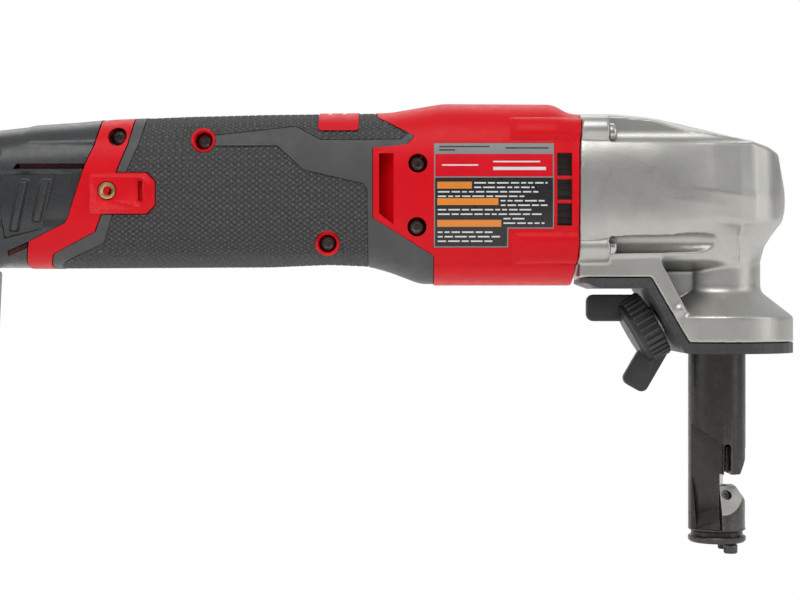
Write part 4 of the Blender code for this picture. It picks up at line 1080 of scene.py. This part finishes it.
# Bores for the ring gear, the rear bearing, and the front bearing and die holder
GEAR_BORE = 21.8
REAR_BORE = 13.3
FRONT_BORE = 12.4
BARREL_ROUNDNESS = 0.66
KNOB_CENTRE = Vector((-26.6, 0.0, 77.6))
KNOB_AXIS = Vector((-cos(radians(30)), 0.0, -sin(radians(30))))


def slope_point(down, out=0.0):
    """Point on the slope below the barrel, out along the knob's axis."""
    return (SLOPE_TOP[0] + SLOPE_DIRECTION[0] * down + KNOB_AXIS.x * out,
            SLOPE_TOP[1] + SLOPE_DIRECTION[1] * down + KNOB_AXIS.z * out)


def gearcase_ring(x, steps=120):
    """Section of the barrel: round at the rear, with a flat side facet towards the front."""
    half_width = float(np.interp(x, *zip(*GEARCASE_HALF_WIDTH)))
    top, bottom = (float(np.interp(x, *zip(*line))) for line in (GEARCASE_TOP, GEARCASE_BOTTOM))
    middle, half_height = (top + bottom) / 2, (top - bottom) / 2
    facet = float(step_up(x, -26.0, -6.0)) * float(1 - step_up(x, 18.0, 22.5))
    shoulder = min(143.2, top - 2.5)
    waist = float(step_up(x, -11.0, FUNNEL_START_X)) if x <= FUNNEL_START_X + 0.6 else 0.0
    ring = []
    for k in range(steps):
        turn = 2 * pi * (k + 0.5) / steps
        share = abs(cos(turn)) ** BARREL_ROUNDNESS
        z = middle + half_height * abs(sin(turn)) ** BARREL_ROUNDNESS * (1 if sin(turn) > 0 else -1)
        flat = np.interp(z, (bottom, bottom + 0.8, bottom + 4.0, FACET_Z[0], FACET_Z[1], shoulder,
                             (shoulder + top) / 2, top), (0.0, 0.5, 0.78, 0.95, 1.0, 0.86, 0.66, 0.0))
        share = share * (1 - facet) + float(flat) * facet
        radius = np.interp(z, [level for _, level in FUNNEL], [reach for reach, _ in FUNNEL])
        y = half_width * share
        y -= waist * max(0.0, y - float(np.sqrt(radius ** 2 - max(x, 0.0) ** 2)) - 0.15)
        ring.append((x, y * (1 if cos(turn) > 0 else -1), z))
    return ring


def gearcase_outside():
    """The casting's outer shape: barrel, skirt, web, neck, flange, screw bosses and strut bead."""
    xs = [*np.linspace(-55.0, 19.4, 50), *np.linspace(20.2, 24.4, 12)]
    case = solid("gearcase_casting", loft([gearcase_ring(x) for x in xs]))
    hollow = [(NECK_RADIUS, 60.0), *FUNNEL, (45.0, 122.0), (45.0, 60.0)]
    funnel = solid("funnel", turned(hollow, (0, 0, 0), UP, 96))
    trim(funnel, block((FUNNEL_START_X, 60.0), (-60.0, 60.0), (50.0, 130.0)))
    cut(case, funnel)
    foot_x = slope_point((SLOPE_TOP[1] - FLANGE_Z[0]) / -SLOPE_DIRECTION[1])[0]
    skirt = [(-52.0, 95.6), SLOPE_TOP, (foot_x, FLANGE_Z[0]), (-1.0, FLANGE_Z[0]), (-7.0, 82.5),
             (-13.6, 82.5), (-23.2, 100.6), (-23.2, 103.4), (-52.0, 103.4)]
    join(case, slab(skirt, SKIRT_HALF_WIDTH))
    web = [SLOPE_TOP, (foot_x, FLANGE_Z[0]), (-1.0, FLANGE_Z[0]), (-1.0, 104.0), (-24.0, 104.0)]
    join(case, slab(web, WEB_HALF_WIDTH))
    neck = ((0, FLANGE_Z[0]), (FLANGE_RADIUS, FLANGE_Z[0]), (FLANGE_RADIUS, FLANGE_Z[1] - 0.4),
            (FLANGE_RADIUS - 0.5, FLANGE_Z[1] + 0.2), (NECK_RADIUS + 1.0, 90.0), (NECK_RADIUS + 0.3, 91.0),
            (NECK_RADIUS, 92.5), (NECK_RADIUS, 101.0), (0, 108.0))
    join(case, turned(neck, (0, 0, 0), UP, 96))
    for side in (-1, 1):
        for z in (147.0, 106.0):
            join(case, rod(5.1, (0, side * 22.4, z), FORWARD, -56.0, -41.9, 40))
        bead = ((0, 20.0), (1.7, 20.0), (1.7, 22.2), (1.1, 22.8), (0, 22.9))
        join(case, turned(bead, (-16.8, 0, 84.0), (0, side, 0), 24))
    return case


def hollow_gearcase(case):
    """Cut the slope, the screw channels, the bores and the joint line to the front shell."""
    behind_slope = [SLOPE_TOP, slope_point(60), slope_point(60, 50), (-70.0, 40.0), (-70.0, SLOPE_TOP[1])]
    cut(case, slab(behind_slope))
    for side in (-1, 1):
        upper = [(16.0, 160.0), (16.0, 149.0)]
        upper += [(20.9 - 4.9 * cos(a), 147.9 - 4.9 * sin(a)) for a in np.linspace(0, pi / 2, 12)]
        upper += [(40.0, 143.0), (40.0, 160.0)]
        outline = [(side * y, z) for y, z in upper]
        cut(case, prism(outline, "X", -42.05 - 0.03 * side, 40.0 + side))
        start = -42.15 - 0.04 * side
        lower = ((0, start), (3.9, start), (3.7, -36.0), (3.5, -12.0), (3.0, -5.0), (1.9, 0.5), (0, 3.0))
        cut(case, turned(lower, (0, side * (SCREW_Y + 3.2), SCREW_Z[1] + 1.4), FORWARD, 40))
        for z in SCREW_Z:
            cut(case, rod(2.4, (0, side * SCREW_Y, z), FORWARD, -60.0, -40.0, 24))
    bore = ((0, -60.0), (GEAR_BORE, -60.0), (GEAR_BORE, -33.0), (REAR_BORE, -33.0), (REAR_BORE, -14.5),
            (FRONT_BORE, -14.5), (FRONT_BORE, -5.5), (0, -5.5))
    cut(case, turned(bore, (0, 0, MOTOR_Z), FORWARD, 64))
    cut(case, block((-6.0, 6.0), (-11.8, 11.8), (106.0, 144.0)))
    cut(case, rod(FRONT_BORE, (0, 0, 0), UP, 60.0, 117.0, 64))
    cut(case, rod(3.3, KNOB_CENTRE, -KNOB_AXIS, 0.0, 15.6, 32))
    cut(case, slab([(-70.0, BELOW), *nose_end(0.35), (-70.0, ABOVE)]))


def gearcase():
    """The casting, its edges softened like those of a die casting by a fine remesh."""
    case = gearcase_outside()
    hollow_gearcase(case)
    remesh = case.modifiers.new("Remesh", "REMESH")
    remesh.mode = "VOXEL"
    remesh.voxel_size = 0.5 * MM
    ease = case.modifiers.new("Smooth", "SMOOTH")
    ease.factor = 0.5
    ease.iterations = 5
    bake(case)
    dress(case, CAST, "body", "cast_metal", "gearcase", angle=80.0)


# ---------------------------------------------------------------- clamp knob and plate

def clamp():
    """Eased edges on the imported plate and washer, and the ribbed knob with its two wings."""
    soften(NODES["clamp_plate"], 0.6, 3, 25.0)
    ribs = 30
    outline = []
    ridge = ((0.0, 12.6), (0.3, 12.6), (0.42, 12.35), (0.5, 11.85), (0.8, 11.85), (0.9, 12.35))
    for rib in range(ribs):
        for share, radius in ridge:
            turn = 2 * pi * (rib + share) / ribs
            outline.append((radius * cos(turn), radius * sin(turn)))
    across = Vector((0, 1, 0))
    up = KNOB_AXIS.cross(across)

    def placed(scale, level):
        return [KNOB_CENTRE + KNOB_AXIS * level + across * a * scale + up * b * scale for a, b in outline]

    knob = solid("clamp_knob_grip", loft([placed(0.965, -4.1), placed(1.0, -3.6), placed(1.0, 2.3),
                                          placed(0.965, 2.9)]))
    hub = ((0, 2.0), (11.7, 2.0), (11.7, 4.2), (11.2, 4.7), (10.4, 4.9), (9.9, 5.3), (9.2, 5.75), (0, 5.75))
    join(knob, turned(hub, KNOB_CENTRE, KNOB_AXIS, 64))
    low, high, left = 79.9, 89.6, -47.5
    upper = rounded([(-30.0, low), (left, low), (left, high), (-30.0, high)], [0, 2.6, 2.6, 0], 6)
    lower = []
    for x, z in upper:
        point = Vector((x, 0, z)) - KNOB_CENTRE
        point = KNOB_CENTRE + 2 * point.dot(KNOB_AXIS) * KNOB_AXIS - point
        lower.append((point.x, point.z))
    for wing in (upper, lower):
        blade = solid("blade", slab(wing, 2.3))
        soften(blade, 0.7, 3, 40.0)
        join(knob, bake(blade))
    cut(knob, rod(3.2, KNOB_CENTRE, KNOB_AXIS, -8.0, 3.3, 40))
    dress(knob, BLACK, "knob", "black_plastic", "clamp_knob", angle=30.0)
    soften(NODES["clamp_washer"], 0.2, 2)


# ---------------------------------------------------------------- die head

TUBE_RADIUS = 10.3
BOLT_X = 3.9
THROAT_Z = (20.4, 25.0)


def die_holder():
    profile = ((3.6, 0), (9.3, 0), (9.8, 0.15), (10.4, 0.9), (10.4, 1.9), (10.1, 2.3), (9.4, 2.6),
               (9.3, 3.0), (9.3, 3.9), (9.6, 4.3), (10.1, 4.5), (TUBE_RADIUS, 4.8), (TUBE_RADIUS, 72.7),
               (11.9, 72.8), (11.9, 93), (9.0, 93), (9.0, 84), (5.7, 84), (5.7, 34.2), (3.6, 34.2))
    holder = solid("die_holder_tube", turned(profile, (0, 0, 0), UP, 128))
    front = [(-0.2, 5.0), (-0.2, THROAT_Z[1]), (7.1, THROAT_Z[1]), (9.6, 30.2), (9.6, 34.0), (14.0, 34.0),
             (14.0, 5.0)]
    cut(holder, slab(front, 14.0))
    for side in (-1, 1):
        plan = [(-14.0, side * 1.6), (0.6, side * 7.2), (0.6, side * 14.0), (-14.0, side * 14.0)]
        wedge = solid("wedge", prism(plan, "Z", 2.0, 50.0))
        trim(wedge, slab([(-14.0, 4.6), (-6.0, 5.4), (1.0, 10.6), (1.0, 35.2), (-8.5, 42.2), (-14.0, 46.0)],
                         14.0))
        arch = [(0.8, 20.0), (3.5, 20.0)] + circle(1.35, 13, (2.15, 34.6), 0, pi, False) + [(0.8, 34.6)]
        start, end = Vector((-9.0, side * 29.6, 15.5)), Vector((1.0, side * 34.9, 16.5))
        scoop = turned(((0, -12), (25.0, -12), (25.0, 10.6), (0, 10.6)), start, end - start, 160)
        wedge_scoop = solid("scoop", scoop)
        trim(wedge_scoop, block((-14.0, 0.6), sorted((side * 0.5, side * 14.0)), (5.0, 27.5)))
        cut(holder, wedge, wedge_scoop, prism(arch, "Y", *sorted((side * 2.0, side * 14.0))))
    for y in (-6.0, 6.0):
        cut(holder, rod(1.8, (BOLT_X, y, 0), UP, -2.0, 6.0, 24))
    dress(holder, OXIDE, "die_head", "black_oxide", "die_holder", angle=28.0)


def die():
    outer, inner, left = 10.1, 3.5, 0.2
    start, hollow = acos(left / outer), acos(left / inner)
    outline = circle(outer, 49, (0, 0), -start, 2 * start, False)
    outline += circle(inner, 21, (0, 0), hollow, -2 * hollow, False)
    made = solid("die_block", prism(outline, "Z", 5.0, THROAT_Z[0]))
    chamfer = [(6.0, THROAT_Z[0] + 0.1), (9.6, 15.1), (10.6, 12.0), (14.0, 12.0), (14.0, 24.0), (6.0, 24.0)]
    cut(made, slab(chamfer, 14.0))
    for side in (-1, 1):
        rings = []
        for x in (-2.0, 14.0):
            face = [(x, side * (9.72 - 0.1 * x - 0.6 * (z - 11.2)), z) for z in (8.0, 21.0)]
            rings.append([face[0], face[1], (x, side * 16.0, 21.0), (x, side * 16.0, 8.0)])
        cut(made, loft(rings))
    hole, bore_axis = (0.34, 0, 15.9), Vector((0.38, -1, 0.25))
    cut(made, rod(1.8, hole, bore_axis, 4.7, 12.0, 32))
    screw("die_screw", ((0, 4.9), (1.6, 4.9), (1.6, 5.6), (0, 5.6)), hole, bore_axis, (0.9, 5.2, 6.4),
          OXIDE, "black_oxide", "die_head", "socket")
    for y in (-6.0, 6.0):
        cut(made, rod(1.8, (BOLT_X, y, 0), UP, 2.0, 12.0, 24))
    dress(made, OXIDE, "die_head", "die_steel", "die", angle=25.0)
    made.data.materials.append(DIE_STEEL)
    ground = Vector((0.1, 1.0, 0.6)).normalized()
    for face in made.data.polygons:
        normal = Vector((face.normal.x, abs(face.normal.y), face.normal.z))
        if normal.dot(ground) > 0.995:
            face.material_index = 1
    bolt = ((0, 11.6), (1.5, 11.6), (1.5, -GAP), (2.2, -GAP), (2.5, -0.6), (2.5, -3.0), (2.2, -3.5),
            (0, -3.5))
    for number, y in enumerate((-6.0, 6.0), 1):
        screw(f"die_bolt_{number}", bolt, (BOLT_X, y, 0), UP, (1.25, -4.0, -2.0), OXIDE, "black_oxide",
              "die_head")


def punch():
    throat = THROAT_Z[1]
    profile = ((0, 18), (2.0, 18), (2.2, 18.2), (2.2, throat + 0.1), (3.2, throat + 0.6), (3.2, 40),
               (5.0, 40), (5.4, 40.4), (5.4, 88), (3.0, 88), (3.0, 100), (5.0, 100), (5.0, 103), (0, 103))
    made = solid("punch_rod", turned(profile, (0, 0, 0), UP, 64))
    dress(made, BRIGHT, "punch_body", "steel", "punch")


# ---------------------------------------------------------------- battery

CELL_RADIUS = 9.2
STEM_CELLS = ((-9.35, 129.6), (9.35, 129.6), (0.0, 113.5))
STEM_RADIUS = 10.25
LATCH_OUTLINE = [(-253.8, 109.2), (-240.6, 112.4), (-235.6, 131.4), (-253.4, 131.4), (-255.6, 129.2)]


def stem_outline(radius, steps=25):
    """Outline round the three stem cells, in Y and Z."""
    outline = []
    for (y, z), facing in zip(STEM_CELLS, (150, 30, 270)):
        outline += circle(radius, steps, (y, z), radians(facing + 60), -radians(120), False)
    return outline


def battery_relief(x, y, z, s):
    """Raised roof ridge, the lowered flanks and the step towards the rear."""
    ridge = 0.5 * step_up(z, 142.0, 143.2) * step_up(x, -249.0, -245.0)
    dish = 0.9 * step_up(z, 112.0, 116.0) * (1 - step_up(z, 131.8, 132.6)) * step_up(x, -258.0, -254.0)
    arc = np.hypot(x + 268.0, (z - 133.5) * 1.3)
    groove = 0.5 * np.exp(-((arc - 14.5) / 0.7) ** 2)
    groove = groove * step_up(z, 118.0, 122.0) * (1 - step_up(x, -257.0, -255.0))
    return ridge - dish - groove - 0.35


def latch_relief(x, y, z, s):
    """Two slanted ribs across the release button."""
    lift = -1.1 * np.ones_like(x)
    for top_x, bottom_x, low in ((-246.4, -250.4, 111.0), (-238.9, -242.4, 114.2)):
        line = np.interp(z, (low, 129.5), (bottom_x, top_x))
        inside_rib = step_up(z, low, low + 1.5) * (1 - step_up(z, 128.6, 130.0))
        rib = 1 - step_up(np.abs(x - line), 0.7, 2.1)
        lift = np.maximum(lift, -1.1 + 1.7 * rib * inside_rib)
    return lift


def battery():
    """The pack's case with its stem, two release buttons and the red lining of its slits, darkened with
    painted shade.
    """
    case = solid("battery_shell", full_body(-268.0, -216.0, 0.8, 0.0, battery_relief))
    trim(case, slab([(-300.0, BELOW), *run_on(BATTERY_BORDER, -0.3), (-300.0, ABOVE)]))
    join(case, prism(stem_outline(STEM_RADIUS), "X", -250.0, -166.0))
    cut(case, full_body(-272.0, -249.0, 3.0, 3.4),
        prism(stem_outline(CELL_RADIUS + 0.3), "X", -270.0, -175.0))
    for y in (-7.0, 0.0, 7.0):
        cut(case, block((-171.5, -160.0), (y - 0.9, y + 0.9), (118.2, 125.8)))
    pocket = solid("pocket", prism(grown(LATCH_OUTLINE, 0.12), "Y", -40.0, -10.0))
    cut(pocket, hollow(-270.0, -230.0, 6.4, 1.5, 3.0))
    other = copy_of(pocket, "pocket_left", True)
    upper_slit = [(-250.6, 133.4), (-220.0, 133.4), (-220.0, 135.3), (-249.2, 135.3)]
    lower_slit = [(-253.4, 103.0), (-243.0, 107.2), (-243.0, 109.2), (-253.4, 104.9)]
    slits = together(prism(upper_slit, "Y", -40.0, -20.0), prism(lower_slit, "Y", -40.0, -17.5))
    cut(case, pocket, other, slits, mirrored(slits))
    dress(case, DARK, "battery", "dark_plastic", "battery_case", angle=30.0)
    lower_inlay = [(-252.9, 103.4), (-246.6, 105.9), (-246.6, 107.6), (-252.9, 104.9)]
    inlay = together(block((-248.9, -226.6), (-21.4, -20.1), (133.5, 135.2)),
                     prism(lower_inlay, "Y", -18.9, -17.6))
    # The slit lining's near-black red is painted shade
    lining = solid("battery_slit_lining", together(inlay, mirrored(inlay)))
    dress(lining, SHADED_SLIT_RED, "battery", "red_plastic")
    button = skin("battery_latch_right_button", half_body(-262.0, -232.0, 0.33, 0.0, latch_relief),
                  LATCH_OUTLINE, hollow(-266.0, -228.0, 4.2, 2.0, 3.0))
    left_button = copy_of(button, "battery_latch_left_button", True)
    dress(button, DARK, "latch_right", "dark_plastic", "battery_latch_right")
    dress(left_button, DARK, "latch_left", "dark_plastic", "battery_latch_left")


def battery_foot():
    """Outer end of the pack: rounded box with a parting groove, ribs, screws and a charge gauge."""
    low, high = inside("battery_foot")
    rear, bottom, half, top = low.x, low.z, high.y, high.z
    front_low, front_high, seam = -267.9, -265.8, 98.4
    side_view = rounded([(rear, bottom), (front_low, bottom), (front_high, seam), (-268.4, seam),
                         (-268.4, top), (rear, top - 4.4)], [2.5, 2.0, 1.0, 0, 1.2, 5.0], 6)
    foot = solid("battery_foot_shell", slab(side_view, half))
    plan = rounded([(rear, -half), (-264.5, -half), (-264.5, half), (rear, half)], 6.0, 12)
    trim(foot, prism(plan, "Z", 50.0, 160.0))
    groove_z = bottom + 6.5
    groove = solid("groove", block((rear - 5.0, -260.0), (-half - 5, half + 5),
                                   (groove_z - 0.25, groove_z + 0.25)))
    inner_half, inner_rear, inner_front = half - 0.5, rear + 0.5, front_low - 0.2
    inner = rounded([(inner_rear, -inner_half), (inner_front, -inner_half), (inner_front, inner_half),
                     (inner_rear, inner_half)], 5.6, 12)
    cut(groove, prism(inner, "Z", 50.0, 160.0))
    cut(foot, groove)
    cut(foot, block((-294.4, -272.4), (-28.3, 28.3), (69.0, 98.2)),
        block((-294.4, -260.0), (-28.3, 28.3), (98.1, 138.6)))
    ribs = []
    for side in (-1, 1):
        for k in range(6):
            x, y = rear + 8.0 + 3.2 * k, sorted((side * (half - 0.6), side * (half + 1.0)))
            ribs.append(block((x, x + 1.4), y, (76.0, 92.0)))
    cut(foot, together(*ribs))
    window = rounded([(-9.0, 118.0), (9.0, 118.0), (9.0, 123.0), (-9.0, 123.0)], 1.0, 4)
    cut(foot, prism(window, "X", rear - 2.0, rear + 0.5))
    places = [(x, y) for x in (rear + 6.5, -273.5) for y in (-23.0, 23.0)]
    wells = [rod(2.6, (x, y, bottom), UP, -1.0, 3.0, 32) for x, y in places]
    cut(foot, together(*wells))
    dress(foot, PALE, "battery", "pale_plastic", "battery_foot", angle=35.0)
    for number, (x, y) in enumerate(places, 1):
        profile = ((0, 0.6), (1.6, 0.6), (2.3, 1.1), (2.3, 2.7), (0, 2.7))
        made = solid(f"foot_screw_{number}", turned(profile, (x, y, bottom), UP, 32))
        cut(made, rod(0.9, (x, y, bottom), UP, -1.0, 1.7, 6))
        dress(made, OXIDE, "battery", "black_oxide")
    lamps = [block((rear + 0.15, rear + 0.45), (y - 1.3, y + 1.3), (119.2, 121.8))
             for y in (-6.4, -2.2, 2.0)]
    gauge = solid("foot_gauge_lamps", together(*lamps))
    dress(gauge, PRINT_WHITE, "battery", "label")
    button = solid("foot_gauge_button", rod(1.5, (rear, 6.2, 120.5), FORWARD, 0.1, 0.45, 32))
    dress(button, BLACK, "battery", "black_plastic")


def slide_switch():
    """Thumb slide with cross ridges, and the link under it."""
    low, high = inside("slide_switch")
    body = solid("slide_switch_button", block((-98.0, -80.0), (-7.0, 7.0), (150.6, 155.6)))
    soften(body, 0.9, 3, 40.0)
    bake(body)
    ridges = []
    for k in range(6):
        x = -96.0 + 2.8 * k
        profile = [(x - 0.9, 155.0), (x + 0.9, 155.0), (x + 0.55, 156.6), (x, high.z), (x - 0.55, 156.6)]
        ridges.append(slab(profile, 5.8))
    join(body, together(*ridges))
    join(body, block((low.x, -90.0), (-3.0, 3.0), (low.z, 151.2)))
    dress(body, BLACK, "slide", "black_plastic", "slide_switch", angle=40.0)


# ---------------------------------------------------------------- stage

def floor():
    """Pale floor that curves up behind the tool, and is plain white where the camera sees it."""
    floor_z = cad_low.z - 0.0005
    curve = [(1.2 + sin(a), floor_z + 1.0 - cos(a)) for a in np.linspace(0, pi / 2, 16)]
    profile = [(-4.0, floor_z), *curve, (2.2, 4.0)]
    points = [(x, y, z) for y, z in profile for x in (-5.0, 5.0)]
    faces = [(2 * i, 2 * i + 1, 2 * i + 3, 2 * i + 2) for i in range(len(profile) - 1)]
    sweep = bpy.data.meshes.new("floor")
    sweep.from_pydata(points, [], faces)
    sweep.shade_smooth()
    paper = moulded("paper", (0.85, 0.85, 0.85), 0.9, 1.0, 0.01, 0.01, Specular_IOR_Level=0.0,
                    Emission_Color=(1.0, 1.0, 1.0, 1.0), Emission_Strength=0.22)
    tree = paper.node_tree
    glow, seen, mixed = (tree.nodes.new(kind) for kind in
                         ("ShaderNodeEmission", "ShaderNodeLightPath", "ShaderNodeMixShader"))
    tree.links.new(seen.outputs["Is Camera Ray"], mixed.inputs[0])
    tree.links.new(tree.nodes["Principled BSDF"].outputs["BSDF"], mixed.inputs[1])
    tree.links.new(glow.outputs["Emission"], mixed.inputs[2])
    tree.links.new(mixed.outputs["Shader"], tree.nodes["Material Output"].inputs["Surface"])
    sweep.materials.append(paper)
    made = bpy.data.objects.new("floor", sweep)
    bpy.context.scene.collection.objects.link(made)


# Grey of the surroundings from straight down (0) to straight up (1), dim round the horizon
SKY = ((0.0, 0.9), (0.36, 0.8), (0.47, 0.10), (0.53, 0.10), (0.68, 0.9), (1.0, 1.0))


def sky():
    world = bpy.data.worlds.new("studio")
    bpy.context.scene.world = world
    world.use_nodes = True
    tree = world.node_tree
    background = tree.nodes["Background"]
    coordinate, split, ramp, spread = (tree.nodes.new(f"ShaderNode{kind}") for kind in
                                       ("TexCoord", "SeparateXYZ", "ValToRGB", "MapRange"))
    spread.inputs["From Min"].default_value = -1.0
    stops = ramp.color_ramp.elements
    while len(stops) < len(SKY):
        stops.new(0.5)
    for stop, (position, grey) in zip(stops, SKY):
        stop.position = position
        stop.color = (grey, grey, grey, 1.0)
    tree.links.new(coordinate.outputs["Generated"], split.inputs["Vector"])
    tree.links.new(split.outputs["Z"], spread.inputs["Value"])
    tree.links.new(spread.outputs["Result"], ramp.inputs["Fac"])
    tree.links.new(ramp.outputs["Color"], background.inputs["Color"])
    background.inputs["Strength"].default_value = 0.5


# Soft lights: name, place from the tool's middle in metres, width, height and power
LIGHTS = (("key", (-0.1, -0.75, 1.0), 1.0, 0.6, 6.0), ("low", (0.0, -0.9, -0.55), 1.2, 0.3, 0.6),
          ("front", (0.95, -0.30, 0.3), 0.4, 0.8, 1.3), ("rear", (-0.9, -0.3, 0.35), 0.5, 0.8, 1.2),
          ("back", (0.0, 0.9, 0.9), 1.2, 0.8, 3.0))


def lamps():
    centre = (cad_low + cad_high) / 2
    for name, place, width, height, power in LIGHTS:
        light = bpy.data.lights.new(name, "AREA")
        light.shape = "RECTANGLE"
        light.size, light.size_y = width, height
        light.energy = power
        lamp = bpy.data.objects.new(name, light)
        lamp.location = centre + Vector(place)
        lamp.rotation_mode = "QUATERNION"
        lamp.rotation_quaternion = (centre - lamp.location).to_track_quat("-Z", "Y")
        bpy.context.scene.collection.objects.link(lamp)


def studio():
    settings = bpy.context.scene.view_settings
    settings.view_transform = "Standard"
    settings.look = "None"
    floor()
    sky()
    lamps()


CAMERA_PLACE = (-115.1, -645.0, 87.6)
FIELD_OF_VIEW = radians(25.4)


def camera():
    data = bpy.data.cameras.new("camera")
    data.sensor_width = 36.0
    data.lens = data.sensor_width / 2 / np.tan(FIELD_OF_VIEW / 2)
    data.clip_start, data.clip_end = 0.05, 20.0
    made = bpy.data.objects.new("camera", data)
    made.location = Vector(CAMERA_PLACE) * MM + ORIGIN
    made.rotation_euler = (pi / 2, 0.0, 0.0)
    bpy.context.scene.collection.objects.link(made)
    bpy.context.scene.camera = made


def repaint_nodes():
    """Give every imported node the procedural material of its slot."""
    for node in NODES.values():
        if node.material_slots:
            slot = node.data.materials[0].name.split(".")[0]
            node.material_slots[0].material = SLOT_PAINT.get(slot, BRIGHT)


def build():
    repaint_nodes()
    housing()
    fan_guard()
    grip()
    badge()
    rating_plate()
    housing_screws()
    gearcase_screws()
    hanger_insert()
    gearcase()
    clamp()
    die_holder()
    die()
    punch()
    battery()
    battery_foot()
    slide_switch()
    studio()
    camera()


build()
